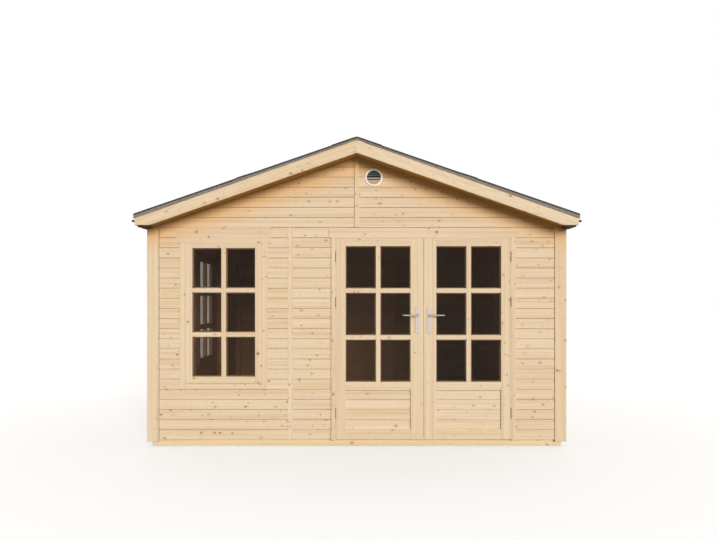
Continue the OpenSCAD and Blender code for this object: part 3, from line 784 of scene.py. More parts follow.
DOOR_HEAD_BACK = 0.014
DOOR_HEAD_DROP = Vector((0, 0, 0.0045))
LINTEL_DROP = Vector((0, 0, BOARD_GAP / 2))
for node, finish in (("door_studs", post_spruce), ("door_stop_bars", post_spruce),
                     ("door_lintel", post_spruce), ("door_jambs", trim_spruce),
                     ("door_head", trim_spruce)):
    door_frame_stack = new_stack()
    for low, high in solids(node):
        if node == "door_head":
            low, high = thinned(low, high - DOOR_HEAD_DROP, DOOR_HEAD_BACK)
        if node == "door_lintel":
            low, high = low + JAMB_SLIM, high - JAMB_SLIM - LINTEL_DROP
        if node == "door_jambs":
            low, high = (low + JAMB_SLIM, high) if low.x < 0 else (low, high - JAMB_SLIM)
        stick(door_frame_stack, low, high, HEAD_EASE)
    put_up(node + "_timbers", door_frame_stack, finish, "cabin", node)


# Draught strips: slim spruce lippings in the gaps round the leaves, pinned to the jambs between the
# hinges and to the head, almost flush with the faces of the leaves.

DRAUGHT_GAP = 0.0009
DRAUGHT_DEPTH = (0.0006, 0.018)
DRAUGHT_EASE = 0.0008
draught_stack = new_stack()
left_leaf, right_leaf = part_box("left_door_leaf"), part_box("right_door_leaf")
jamb_left, jamb_right = solids("door_jambs")
draught_front, draught_back = (left_leaf[0].y + depth for depth in DRAUGHT_DEPTH)
hinge_ends = sorted((low.z, high.z) for low, high in solids("left_hinge_leaves"))
feet = [left_leaf[0].z] + [high for low, high in hinge_ends]
heads = [low for low, high in hinge_ends] + [left_leaf[1].z]
for x0, x1 in ((jamb_left[1].x, left_leaf[0].x - DRAUGHT_GAP),
               (right_leaf[1].x + DRAUGHT_GAP, jamb_right[0].x)):
    for foot, head in zip(feet, heads):
        stick(draught_stack, Vector((x0, draught_front, foot + DRAUGHT_GAP)),
              Vector((x1, draught_back, head - DRAUGHT_GAP)), DRAUGHT_EASE)
stick(draught_stack, Vector((jamb_left[1].x, draught_front, left_leaf[1].z + DRAUGHT_GAP)),
      Vector((jamb_right[0].x, draught_back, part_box("door_head")[0].z)), DRAUGHT_EASE)
put_up("door_draught_strips", draught_stack, trim_spruce, "cabin")


# Door leaves: stiles, rails and glazing bars of planed spruce, mortised together. Four boards fill
# each leaf below the glass, set back between the stiles, with a narrow gap under the middle rail.
# The left leaf has a slim strip down its edge, where the two leaves meet.

HINGE_STILE = 0.084
LOCK_STILE = 0.110
TOP_RAIL = 0.071
MID_RAIL = 0.074
BOTTOM_RAIL = 0.087
LEAF_EASE = 0.0014
MEETING_W = 0.0045
MEETING_DEPTH = (0.010, 0.028)
MEETING_EASE = 0.001
PANEL_H = 0.343
PANEL_GAP = 0.0045
PANEL_TONGUE = (0.0, 0.003)
PANEL_BOARDS = 4
PANEL_COVER = 0.0893
PANEL_BACK = 0.006
panel_top = BOTTOM_RAIL + PANEL_H
sill = panel_top + MID_RAIL
for side, near, far in (("left", HINGE_STILE, LOCK_STILE), ("right", LOCK_STILE, HINGE_STILE)):
    leaf_box, panel_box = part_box(side + "_door_leaf"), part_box(side + "_door_panel")
    leaf_stack = new_stack()
    place, size = facing(*leaf_box)
    glazed_frame(leaf_stack, place, size, near, size.x - far,
                 ((0, BOTTOM_RAIL), (panel_top, sill), (size.y - TOP_RAIL, size.y)), LEAF_EASE)
    if side == "left":
        local_board(leaf_stack, place, (size.x, 0, MEETING_DEPTH[0]),
                    (size.x + MEETING_W, size.y, MEETING_DEPTH[1]), UP, MEETING_EASE)
    put_up(side + "_door_frame", leaf_stack, trim_spruce, side + "_door", side + "_door_leaf")

    panel_stack = new_stack()
    place, size = facing(*panel_box)
    place = place @ Matrix.Translation((0, 0, -PANEL_BACK))
    panel_head = leaf_box[0].z + panel_top - PANEL_GAP - panel_box[0].z
    for course in range(PANEL_BOARDS):
        level = size.y - (PANEL_BOARDS - course) * PANEL_COVER
        foot = level + BOARD_GAP / 2
        head = min(level + PANEL_COVER - BOARD_GAP / 2, panel_head)
        board = pick_board()
        saw(panel_stack, board, place, rectangle((0, foot), (size.x, head)), (0, size.z), ALONG,
            CHAMFER, board_edges(foot, head, size.z))
        if course:
            tongue(panel_stack, board, place, (0, size.x), level - BOARD_GAP / 2, foot)
    tongue(panel_stack, board, place, (0, size.x), panel_head, size.y, PANEL_TONGUE)
    put_up(side + "_door_boards", panel_stack, wall_spruce, side + "_door", side + "_door_panel")


# Hinges: zinc-plated butt hinges, three to a leaf, with their knuckles outside. Each has two flaps
# let into the wood and held by three slotted screws, and a pin with a small button at each end.

SMOOTH_ANGLE = math.radians(40)
BRUSHED = (900.0, 900.0, 40.0)
BRUSHED_BUMP = (0.15, 0.0002)
DULL = 0.7
TURN_STEPS = 28
SLOT_STEPS = 10
HINGE_R = 0.0036
HINGE_RIM = 0.0008
HINGE_TIP = 0.004
HINGE_PLAY = 0.0006
HINGE_GAP = 0.003
FLAP_T = 0.002
FLAP_W = 0.024
FLAP_EASE = 0.0003
FLAP_CORNER = 0.003
FLAP_SCREW = (0.0038, 0.0009, 0.0004)
FLAP_SCREWS = (0.18, 0.5, 0.82)


def metal(name, colour, roughness, dullness, metallic=1.0):
    """A brushed metal with a dull film on it."""
    made, tree, shader = new_finish(name)
    place = where(tree)
    brushed = cloud(tree, vectors(tree, "MULTIPLY", place, BRUSHED)[0], 1.0)
    film = place_group(tree, dust, {"Vector": place, "Amount": dullness})["Dust"]
    dull = tuple(value * DULL for value in colour[:3]) + (1.0,)
    rough = sums(tree, "MULTIPLY_ADD", brushed, 0.16, sums(tree, "ADD", film, roughness))
    feed(tree, shader, {"Base Color": blend(tree, film, colour, dull), "Roughness": rough,
                        "Metallic": metallic, "Normal": bump(tree, brushed, *BRUSHED_BUMP)})
    return made


def lathe(shell, place, profile, steps=TURN_STEPS):
    """A turned shape: a profile of (radius, height) from one end of the axis to the other."""
    rings = []
    for radius, height in profile:
        turns = [math.tau * step / steps for step in range(steps if radius else 1)]
        points = [Vector((radius * math.cos(turn), radius * math.sin(turn), height)) for turn in turns]
        rings.append([shell.verts.new(place @ point) for point in points])
    join_rings(shell, rings)


def raised(shell, place, outline, steps):
    """A solid plate: an outline function of an inset, through steps of (inset, height)."""
    close_rings(shell, [[shell.verts.new(place @ Vector((a, b, height))) for a, b in outline(inset)]
                        for inset, height in steps])


def fit(name, shell, finish, slot, body, *nodes):
    """Makes one piece of a shell, smooth but for its sharp edges."""
    bmesh.ops.recalc_face_normals(shell, faces=shell.faces)
    mesh = bpy.data.meshes.new(name)
    shell.to_mesh(mesh)
    shell.free()
    mesh.shade_smooth()
    mesh.set_sharp_from_angle(angle=SMOOTH_ANGLE)
    mount(name, mesh, finish, body, nodes)


def half_disc(radius, gap, side):
    """Outline function of one half of a slotted disc."""
    def outline(inset):
        reach = radius - inset
        start = math.asin((gap / 2 + inset) / reach)
        return [(side * reach * -math.cos(turn), side * reach * math.sin(turn))
                for turn in evenly(start, math.pi - start, SLOT_STEPS)]
    return outline


def slotted(shell, place, radius, gap, height):
    """A round head with a slot across it."""
    for side in (-1, 1):
        raised(shell, place, half_disc(radius, gap, side),
               ((0, 0), (0, height * 0.6), (height * 0.4, height)))


def knuckle(shell, pin, low, high, tip):
    """A rolled knuckle round the pin, with eased rims, and a button at a free end of the pin."""
    lathe(shell, Matrix.Translation((pin.x, pin.y, 0)),
          [(0, low), (HINGE_R - HINGE_RIM, low), (HINGE_R, low + HINGE_RIM), (HINGE_R, high - HINGE_RIM),
           (HINGE_R - HINGE_RIM, high), (0, high)])
    if tip:
        button = [(0, 0), (HINGE_R * 0.8, 0), (HINGE_R * 0.8, HINGE_TIP * 0.35),
                  (HINGE_R * 0.55, HINGE_TIP * 0.85), (0, HINGE_TIP)]
        lathe(shell, Matrix.Translation((pin.x, pin.y, high if tip > 0 else low)),
              [(radius, tip * height) for radius, height in button])


def hinge_flap(shell, x0, x1, pin, foot, head, screw_side):
    """The flat flap of a hinge, with two corners cut and three slotted screws."""
    near = pin.y + HINGE_R
    far = near + FLAP_W

    def outline(inset):
        low, high = (near + inset, foot + inset), (far - inset, head - inset)
        return [low, (high[0] - FLAP_CORNER, low[1]), (high[0], low[1] + FLAP_CORNER),
                (high[0], high[1] - FLAP_CORNER), (high[0] - FLAP_CORNER, high[1]), (low[0], high[1])]
    raised(shell, set_up((0, 1, 0), (0, 0, 1), (1, 0, 0)), outline,
           ((FLAP_EASE, x0), (0, x0 + FLAP_EASE), (0, x1 - FLAP_EASE), (FLAP_EASE, x1)))
    turn = Matrix.Rotation(screw_side * math.pi / 2, 4, "Y")
    for share in FLAP_SCREWS:
        spot = (x1 if screw_side > 0 else x0, (near + far) / 2, foot + share * (head - foot))
        slotted(shell, Matrix.Translation(spot) @ turn, *FLAP_SCREW)


# The zinc's warm tint is a painted reflection of the wood round it.
zinc = metal("zinc_plate_painted_reflection", srgb(166, 147, 118), roughness=0.4, dullness=0.4)
pins = {joint["name"]: Vector(joint["pos_m"]) for joint in frame["joints"]}
frame_hinges = bmesh.new()
for side, label in ((-1, "left"), (1, "right")):
    pin = pins[label + "_door_hinge"]
    leaf_hinges = bmesh.new()
    for low, high in solids(label + "_hinge_leaves"):
        foot, head = low.z, high.z
        third = (head - foot) / 3
        knuckle(frame_hinges, pin, foot, foot + third - HINGE_PLAY, -1)
        knuckle(frame_hinges, pin, head - third + HINGE_PLAY, head, 1)
        knuckle(leaf_hinges, pin, foot + third, head - third, 0)
        for shell, way in ((frame_hinges, side), (leaf_hinges, -side)):
            edge = sorted((pin.x + way * HINGE_GAP, pin.x + way * (HINGE_GAP - FLAP_T)))
            hinge_flap(shell, *edge, pin, foot, head, -way)
    fit(label + "_hinge_flaps", leaf_hinges, zinc, "satin_metal", label + "_door",
        label + "_hinge_leaves")
fit("frame_hinge_flaps", frame_hinges, zinc, "satin_metal", "cabin", "door_hinge_frames")


# Handles: satin steel levers, cast in one with their necks, on long pressed plates with round ends.
# Two screws hold each plate, a collar covers the spindle, and a lock cylinder sits below it.

PLATE_EDGE = ((0, 0), (0, 0.0048), (0.0005, 0.0062), (0.0016, 0.0073), (0.0034, 0.0079), (0.006, 0.008))
PLATE_SCREW = (0.0045, 0.001, 0.0012)
ROUND_END_STEPS = 12
NECK_R = 0.0075
COLLAR_BORE = NECK_R + 0.0012
COLLAR = ((COLLAR_BORE, 0), (0.0145, 0), (0.0145, 0.0014), (0.0135, 0.0024), (NECK_R + 0.002, 0.003),
          (COLLAR_BORE, 0.0026), (COLLAR_BORE, 0))
LOCK_DROP = 0.072
LOCK_TAIL = (0.005, -0.02, 0)
LOCK_TAIL_EDGE = ((0, 0), (0, 0.0012), (0.0006, 0.0018))
LOCK_FACE = 0.0022
LOCK_BARREL = ((0, 0), (0.0086, 0), (0.0086, 0.0016), (0.008, LOCK_FACE), (0, LOCK_FACE))
KEYWAY = (0.006, 0.0018, 0.0009)
LEVER_REACH = 0.048
LEVER_BEND = 0.015
LEVER_HALF = (0.0058, 0.0066)
LEVER_TIP = ((0.06, 0, 1), (0.09, 0.0006, 0.98), (0.11, 0.0025, 0.95), (0.122, 0.0045, 0.92),
             (0.127, 0.0055, 0.82), (0.1298, 0.006, 0.55), (0.1308, 0.0062, 0.25))
TIP_TURN = 30
BEND_STEPS = 8
SWEEP_STEPS = 20


def long_round(half_w, low, high):
    """Outline function of a plate with round ends at two heights."""
    def outline(inset):
        radius = half_w - inset
        return [(radius * math.cos(turn), middle + radius * math.sin(turn))
                for middle, start in ((high, 0.0), (low, math.pi))
                for turn in evenly(start, start + math.pi, ROUND_END_STEPS)]
    return outline


def lever_arm(shell, place):
    """A lever swept out along its neck, round the bend and along to its tip, in the frame (towards
    the hinges, up, out from the plate)."""
    elbow = LEVER_REACH - LEVER_BEND
    path = [(0, 0, PLATE_EDGE[-1][1], NECK_R, NECK_R), (0, 0, elbow, NECK_R, NECK_R)]
    for share in evenly(0, 1, BEND_STEPS)[1:]:
        turn = math.pi / 2 * share
        path.append((LEVER_BEND * (1 - math.cos(turn)), turn, elbow + LEVER_BEND * math.sin(turn),
                     *(NECK_R + (half - NECK_R) * share for half in LEVER_HALF)))
    for along, curl, shrink in LEVER_TIP:
        path.append((along, math.pi / 2 + curl * TIP_TURN, LEVER_REACH - curl,
                     *(half * shrink for half in LEVER_HALF)))
    rings = []
    for along, turn, out, half_t, half_h in path:
        aside = Vector((-math.cos(turn), 0, math.sin(turn))) * half_t
        upward = Vector((0, half_h, 0))
        middle = Vector((along, 0, out))
        angles = [math.tau * step / SWEEP_STEPS for step in range(SWEEP_STEPS)]
        rings.append([shell.verts.new(place @ (middle + aside * math.cos(angle) + upward * math.sin(angle)))
                      for angle in angles])
    close_rings(shell, rings)


satin_steel = metal("satin_steel", srgb(193, 189, 186), roughness=0.24, dullness=0.2)
satin_plate = metal("satin_plate", srgb(213, 200, 188), roughness=0.34, dullness=0.2, metallic=0.5)
for side, label in ((-1, "left"), (1, "right")):
    axis = pins[label + "_lever_turn"]
    plate_shell = bmesh.new()
    lever_shell = bmesh.new()
    for plate_low, plate_high in solids(label + "_handle_plates"):
        outward = -1 if plate_high.y < axis.y else 1
        base = plate_high.y if outward < 0 else plate_low.y
        place = set_up((side, 0, 0), (0, 0, 1), (0, outward, 0), (axis.x, base, axis.z))
        half_w = (plate_high.x - plate_low.x) / 2
        top = plate_high.z - axis.z - half_w
        foot = plate_low.z - axis.z + half_w
        raised(plate_shell, place, long_round(half_w, foot, top), PLATE_EDGE)
        face = place @ Matrix.Translation((0, 0, PLATE_EDGE[-1][1]))
        for height in (top, foot):
            slotted(plate_shell, face @ Matrix.Translation((0, height, 0)), *PLATE_SCREW)
        lathe(plate_shell, face, COLLAR)
        lock = face @ Matrix.Translation((0, -LOCK_DROP, 0))
        raised(plate_shell, lock, long_round(*LOCK_TAIL), LOCK_TAIL_EDGE)
        lathe(plate_shell, lock, LOCK_BARREL)
        key_turn = Matrix.Translation((0, 0, LOCK_FACE)) @ Matrix.Rotation(math.pi / 2, 4, "Z")
        slotted(plate_shell, lock @ key_turn, *KEYWAY)
        lever_arm(lever_shell, place)
    fit(label + "_handle_plate_set", plate_shell, satin_plate, "satin_metal", label + "_door",
        label + "_handle_plates")
    fit(label + "_lever_set", lever_shell, satin_steel, "satin_metal", label + "_handle",
        label + "_lever")


# Roof frame: ridge beam, purlins and eave beams of sawn spruce, planed to the slope on top. They run
# the length of the cabin, rest on the gables and the side walls, and carry the roof boards.

beam_span = (beam_low.y, beam_high.y)
beam_outline = [(post_in, wall_top), (wall_out, wall_top), (wall_out, eave_z), (post_in, beam_high.z)]
beam_stack = new_stack()
for side in (-1, 1):
    saw(beam_stack, pick_board(), FRONT, flipped(beam_outline, side), beam_span, THROUGH)
put_up("eave_beam_timbers", beam_stack, post_spruce, "cabin", "eave_beams")

purlin_stack = new_stack()
for low, high in solids("purlins"):
    top = [(x, ridge_z - abs(x) * slope) for x in (high.x, low.x)]
    if low.x < 0 < high.x:
        top.insert(1, (0.0, ridge_z))
    saw(purlin_stack, pick_board(), FRONT, [(low.x, low.z), (high.x, low.z)] + top, beam_span, THROUGH)
put_up("purlin_timbers", purlin_stack, post_spruce, "cabin", "purlins")


# Roof boards: tongued boards laid from the ridge to the eaves over the purlins, with their
# chamfered side down, so that they show as the ceiling inside.

DECK_T = 0.016
DECK_BOARDS = 44
DECK_EASE = 0.003
pitch_cos = math.cos(ROOF_PITCH)
pitch_sin = math.sin(ROOF_PITCH)
deck_low, deck_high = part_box("roof_deck_right")
deck_cover = (deck_high.y - deck_low.y) / DECK_BOARDS
roof_half = deck_high.x
slope_len = roof_half / pitch_cos


def slope_ways(side):
    """Directions down a roof slope and up from it."""
    return Vector((side * pitch_cos, 0, -pitch_sin)), Vector((side * pitch_sin, 0, pitch_cos))


def deck_edges(start, end):
    """Picks the long lower edges of a roof board."""
    return abs(start.y - end.y) < SAME and abs(start.z) < SAME and abs(end.z) < SAME


for side, node in ((-1, "roof_deck_left"), (1, "roof_deck_right")):
    down, lifted = slope_ways(side)
    place = set_up(down, lifted.cross(down), lifted, (0, 0, ridge_z))
    deck_stack = new_stack()
    for course in range(DECK_BOARDS):
        near = deck_low.y + course * deck_cover
        saw(deck_stack, pick_board(), place, rectangle((0, near), (slope_len, near + deck_cover)),
            (0, DECK_T), ALONG, DECK_EASE, deck_edges)
    put_up(node + "_boards", deck_stack, sawn_spruce, "cabin", node)


# Verges and eaves: boards close the underside of the verges, their dark golden-brown painted on as
# shade, and end in dark blocks over the corner posts, which are painted shade as well. Bargeboards
# cover the ends of the roof boards, mitred at the ridge and cut level at the foot, and an eave board
# closes each side.

BARGE_H = 0.126
BARGE_SPREAD = 0.0045
BARGE_ROUND = 0.022
BARGE_EASE = 0.003
ROUND_STEPS = 6
BLOCK_IN = 0.062
BLOCK_EASE = 0.002
SOFFIT_EASE = 0.0025
EAVE_EASE = 0.002
barge_spruce = spruce("barge_spruce", *TRIM_TONES, knot_size=0.0055, knot_share=0.75, ring_share=0.26,
                      roughness=0.6)
# The soffit's dark golden-brown is painted shade under the verge.
painted_shade_soffit_spruce = spruce("painted_shade_soffit_spruce", srgb(188, 141, 68), srgb(180, 129, 56), srgb(128, 89, 37),
                       knot_size=0.006, knot_share=0.8, ring_share=0.3, roughness=0.75)
soffit_low, soffit_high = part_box("verge_soffits")
barge_low, barge_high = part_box("bargeboards_right")
verge_out = barge_high.y
verge_in = soffit_high.y
barge_foot = barge_low.z
barge_slope = slope + BARGE_SPREAD
barge_top = ridge_z + DECK_T / pitch_cos
barge_under = barge_top - BARGE_H / pitch_cos
barge_cut = (barge_under - barge_foot) / barge_slope


def along_verge(points):
    """Outline points in the frame of a slope seen from the front: down it, and up from it."""
    return [(x * pitch_cos - (z - ridge_z) * pitch_sin, x * pitch_sin + (z - ridge_z) * pitch_cos)
            for x, z in points]


def verge_place(side, end):
    """Frame of a board along a verge: down the slope, up from it, and along the eaves."""
    return set_up(*slope_ways(side), (0, end, 0), (0, 0, ridge_z))


def barge_edges(start, end):
    """Picks the edges of a bargeboard, but not those of the mitre at the ridge, which meets tight."""
    return any(p.x * pitch_cos + p.y * pitch_sin > 1e-4 for p in (start, end))


barge_points = [(0, barge_top), (roof_half, barge_top - roof_half * slope), (roof_half, barge_foot)]
for share in evenly(0, 1, ROUND_STEPS):
    flat_end = (barge_cut + BARGE_ROUND * (1 - share), barge_foot)
    slope_end = (barge_cut - BARGE_ROUND * share, barge_foot + BARGE_ROUND * share * barge_slope)
    barge_points.append(tuple(a + (b - a) * share for a, b in zip(flat_end, slope_end)))
barge_points.append((0, barge_under))
for side, node in ((-1, "bargeboards_left"), (1, "bargeboards_right")):
    barge_stack = new_stack()
    for end in (-1, 1):
        saw(barge_stack, pick_board(), verge_place(side, end), along_verge(barge_points),
            (verge_in, verge_out), ALONG, BARGE_EASE, barge_edges)
    put_up(node + "_planed", barge_stack, barge_spruce, "cabin", node)

soffit_end = soffit_high.x
soffit_foot = soffit_low.z
soffit_top = soffit_high.z
soffit_mid = (wall_out + verge_in) / 2
block_in = post_out - BLOCK_IN
block_foot = soffit_foot + BLOCK_IN * slope
block_top = soffit_top - block_in * slope
soffit_points = [(0, soffit_top), (block_in, block_top), (block_in, block_foot),
                 (0, soffit_foot + post_out * slope)]
block_points = [(block_in, block_top), (soffit_end, soffit_top - soffit_end * slope),
                (soffit_end, soffit_foot), (post_out, soffit_foot), (block_in, block_foot)]
soffit_stack = new_stack()
block_stack = new_stack()
for side in (-1, 1):
    for end in (-1, 1):
        place = verge_place(side, end)
        for span in ((wall_out, soffit_mid), (soffit_mid, verge_in)):
            board = pick_board()
            saw(soffit_stack, board, place, along_verge(soffit_points), span, ALONG, SOFFIT_EASE)
            saw(block_stack, board, place, along_verge(block_points), span, THROUGH, BLOCK_EASE)
put_up("verge_soffit_boards", soffit_stack, painted_shade_soffit_spruce, "cabin", "verge_soffits")
# The end blocks are dark as painted shade under the level ends of the eaves.
put_up("verge_end_blocks", block_stack, painted_shade_spruce, "cabin", "verge_soffits")

eave_in = roof_half - (verge_out - verge_in)
eave_points = [(eave_in, barge_foot), (roof_half, barge_foot), (roof_half, ridge_z - roof_half * slope),
               (eave_in, ridge_z - eave_in * slope)]
eave_stack = new_stack()
for side in (-1, 1):
    saw(eave_stack, pick_board(), FRONT, flipped(eave_points, side), (-verge_in, verge_in), THROUGH,
        EAVE_EASE)
put_up("eave_board_planed", eave_stack, barge_spruce, "cabin", "eave_boards")


# Drip strips: black moulded strips nailed along the eaves, under the edge of the felt. They lead the
# water clear of the eave boards, and dust lies on them in patches.

MOULDED_DUST = 0.5
MOULDED_SKIN = 700.0
SKIN_BUMP = (0.1, 0.0002)


def moulded(name, colour, dusty, roughness, matting=0.4, gloss=0.5):
    """A moulded plastic with a fine matt skin and a film of dust."""
    made, tree, shader = new_finish(name)
    place = where(tree)
    film = place_group(tree, dust, {"Vector": place, "Amount": MOULDED_DUST})["Dust"]
    feed(tree, shader, {"Base Color": blend(tree, film, colour, dusty), "Specular IOR Level": gloss,
                        "Roughness": sums(tree, "MULTIPLY_ADD", film, matting, roughness),
                        "Normal": bump(tree, cloud(tree, place, MOULDED_SKIN), *SKIN_BUMP)})
    return made


frame["nodes"]["drip_strips"].material_slots[0].material = moulded(
    "black_drip", srgb(12, 11, 10), srgb(34, 32, 30), roughness=0.42, matting=0.5, gloss=0.2)


# Roofing felt: two lengths of mineral felt on each slope, lapped, with a cap over the ridge. Their
# edges are folded down over the bargeboards, where the granules rub off and the bitumen shows.

FELT_T = 0.003
SHEET_T = 0.0024
LAP_LIFT = SHEET_T + 0.0003
CAP_LIFT = SHEET_T + 0.0006
ROLL_W = 1.0
LAP = 0.08
EAVE_OVER = 0.002
LIP_RIDGE = 0.029
LIP_EAVE = 0.045
FOLD = 0.005
FOLD_STEPS = 4
WORN_W = 0.017
FLAT_STEPS = 24
CAP_REACH = 0.22
CAP_STEPS = 10
ROW_STEP = 0.06
RIPPLE = 0.0005
RIPPLE_TURN = 2.3
GRANULES = 420.0
FELT_BUMP = (0.5, 0.0012)
felt, felt_tree, felt_shader = new_finish("mineral_felt")
felt_where = where(felt_tree)
granules = add(felt_tree, "ShaderNodeTexVoronoi", {"Vector": felt_where, "Scale": GRANULES})
speck = add(felt_tree, "ShaderNodeSeparateColor", {0: granules["Color"]})[0]
patch = cloud(felt_tree, felt_where, 2.2, 4.0)
rubbed = cloud(felt_tree, felt_where, 60.0, 3.0)
worn = sums(felt_tree, "MULTIPLY_ADD", rubbed, 0.5, mark(felt_tree, "worn")["Fac"])
bitumen = sums(felt_tree, "MULTIPLY", ramp(felt_tree, worn, 0.7, 1.15), 0.9)
colour = blend(felt_tree, ramp(felt_tree, speck, 0.1, 0.95), srgb(96, 88, 80), srgb(162, 149, 136))
colour = blend(felt_tree, ramp(felt_tree, patch, 0.35, 0.75, 0.0, 0.4), colour, srgb(136, 124, 113))
felt_height = sums(felt_tree, "MULTIPLY_ADD", patch, 2.0, granules["Distance"])
feed(felt_tree, felt_shader, {"Base Color": blend(felt_tree, bitumen, colour, srgb(46, 43, 41)),
                              "Roughness": sums(felt_tree, "MULTIPLY_ADD", speck, 0.12, 0.82),
                              "Normal": bump(felt_tree, felt_height, *FELT_BUMP)})
felt_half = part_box("roof_felt")[1].y
felt_lift = DECK_T + FELT_T
eave_run = slope_len + EAVE_OVER


def felt_section(lip, out):
    """Half a section of felt, from the lip at one verge to the middle, as (y, drop, worn)."""
    edge = felt_half + out
    points = [(-edge, -lip, 0.3), (-edge, -lip * 0.7, 0.0), (-edge, -FOLD - WORN_W, 0.1),
              (-edge, -FOLD - WORN_W / 2, 0.9)]
    for angle in evenly(0, math.pi / 2, FOLD_STEPS):
        points.append((-edge + FOLD * (1 - math.cos(angle)), FOLD * (math.sin(angle) - 1), 1.0))
    for y in evenly(FOLD + WORN_W - edge, 0.0, FLAT_STEPS):
        points.append((y, 0.0, 0.0))
    return points


def felt_length(name, rows):
    """One length of felt through rows of (x, z, lip, out): its upper face, thickened downwards."""
    shell = bmesh.new()
    mask = shell.verts.layers.float.new("worn")
    grid = []
    for x, z, lip, out in rows:
        wave = chance.uniform(0, math.tau)
        half = felt_section(lip, out)
        line = []
        for y, drop, worn_here in half + [(-y, drop, rub) for y, drop, rub in reversed(half[:-1])]:
            rise = RIPPLE * math.sin(RIPPLE_TURN * y + wave) if drop == 0 else 0.0
            vert = shell.verts.new((x, y, z + drop + rise))
            vert[mask] = worn_here
            line.append(vert)
        grid.append(line)
    for low, high in zip(grid, grid[1:]):
        for i in range(len(low) - 1):
            shell.faces.new((low[i], low[i + 1], high[i + 1], high[i]))
    bmesh.ops.recalc_face_normals(shell, faces=shell.faces)
    if sum(face.normal.z for face in shell.faces) < 0:
        bmesh.ops.reverse_faces(shell, faces=shell.faces)
    bmesh.ops.solidify(shell, geom=shell.faces, thickness=SHEET_T)
    fit(name, shell, felt, "felt", "cabin", "roof_felt")


def felt_row(side, run, over):
    """A row across the felt, at a run down the slope from the ridge, lifted over what lies under it."""
    lift = felt_lift + over
    lip = LIP_RIDGE + (LIP_EAVE - LIP_RIDGE) * min(1.0, run / slope_len)
    return (side * (run * pitch_cos + lift * pitch_sin), ridge_z - run * pitch_sin + lift * pitch_cos,
            lip, over)


lap_run = eave_run - ROLL_W
for side, label in ((-1, "left"), (1, "right")):
    for length, foot in (("lower", eave_run), ("upper", lap_run + LAP)):
        rows = []
        for step in range(math.ceil(ROLL_W / ROW_STEP) + 1):
            run = max(foot - ROLL_W, foot - step * ROW_STEP)
            lapped = max(0.0, min(1.0, (run - lap_run + LAP) / LAP)) if length == "upper" else 0.0
            rows.append(felt_row(side, run, LAP_LIFT * lapped))
        felt_length(f"felt_{label}_{length}", rows)
cap_rows = []
for step in range(-CAP_STEPS, CAP_STEPS + 1):
    row = felt_row(math.copysign(1, step), abs(step) / CAP_STEPS * CAP_REACH, CAP_LIFT)
    cap_rows.append(row if step else (0.0, *row[1:]))
felt_length("felt_ridge_cap", cap_rows)


# Vent: a cream moulded ring pressed into a round hole in the gable. Grey louvre blades before a dark
# screen fill its upper part, their dark grey and the dark screen painted on as shade, and a beige flap
# under a pale bar closes the lower part.

VENT_W = 0.0155
VENT_PROUD = 0.010
VENT_PLAY = 0.001
VENT_STEPS = 64
CHORD_OVER = 0.0004
BLADE_RISE = 0.010
BLADE_BACK = -0.006
BLADE_NOSE = 0.0006
BLADE_T = 0.0026
BLADE_PITCH = 0.0195
BLADE_FIRST = 0.013
SCREEN_ROWS = 16
SCREEN_DROP = 0.004
SCREEN_DEPTH = (-0.016, -0.018)
FLAP_TOP = -0.018
FLAP_ROWS = 14
FLAP_DEPTH = (-0.005, -0.010)
FLAP_CROWN = 0.0022
BAR_FOOT = -0.0095
BAR_HEAD = -0.0015
BAR_ROUND = 0.0012
BAR_DEPTH = (-0.008, 0.0022, 0.0036)
bore = vent_r - VENT_W
vent_place = FRONT @ Matrix.Translation((vent_middle.x, vent_middle.z, wall_out))
vent_back = VENT_PROUD - (vent_high.y - vent_low.y)
sleeve = vent_hole - VENT_PLAY


def blade(shell, section):
    """A blade across the bore: a closed section of (height, out), each row as wide as the bore there."""
    rings = []
    for side in (-1, 1):
        chords = [math.sqrt(max(0.0, (bore + CHORD_OVER) ** 2 - height ** 2)) for height, out in section]
        rings.append([shell.verts.new(vent_place @ Vector((side * chord, height, out)))
                      for chord, (height, out) in zip(chords, section)])
    close_rings(shell, rings)


def vent_part(name, shell, finish):
    fit(name, shell, finish, "vent", "cabin", "gable_vent")


ring_shell = bmesh.new()
lathe(ring_shell, vent_place, [
    (sleeve, vent_back), (sleeve, 0), (vent_r - 0.0006, 0), (vent_r, 0.0012), (vent_r - 0.0012, 0.0052),
    (vent_r - 0.0038, 0.0084), (vent_r - 0.0075, VENT_PROUD), (bore + 0.004, 0.0094),
    (bore + 0.0012, 0.0076), (bore, 0.005), (bore, vent_back), (sleeve, vent_back)], VENT_STEPS)
vent_part("vent_ring", ring_shell, moulded("vent_cream", srgb(253, 247, 235), srgb(242, 233, 216), 0.4))

louvre_shell = bmesh.new()
height = BLADE_FIRST
while height + BLADE_RISE < bore:
    blade(louvre_shell, [(height, 0.0), (height + BLADE_RISE, BLADE_BACK),
                         (height + BLADE_RISE + BLADE_T, BLADE_BACK), (height + BLADE_T * 1.1, 0.0),
                         (height + BLADE_T * 0.55, BLADE_NOSE)])
    height += BLADE_PITCH
# The blades' dark grey is painted shade over the upper part of the vent.
vent_part("vent_louvres", louvre_shell, moulded("vent_grey_painted_shade", srgb(98, 99, 101), srgb(112, 109, 105), 0.5))

screen_shell = bmesh.new()
screen_foot = FLAP_TOP - SCREEN_DROP
screen_edge = evenly(screen_foot, screen_foot + (bore - screen_foot) * 0.999, SCREEN_ROWS)
blade(screen_shell, [(height, SCREEN_DEPTH[0]) for height in screen_edge]
      + [(height, SCREEN_DEPTH[1]) for height in screen_edge[::-1]])
# The dark screen is painted shade seen between the blades.
vent_part("vent_screen", screen_shell, moulded("vent_painted_shade_dark", srgb(44, 43, 44), srgb(62, 60, 58), 0.7))

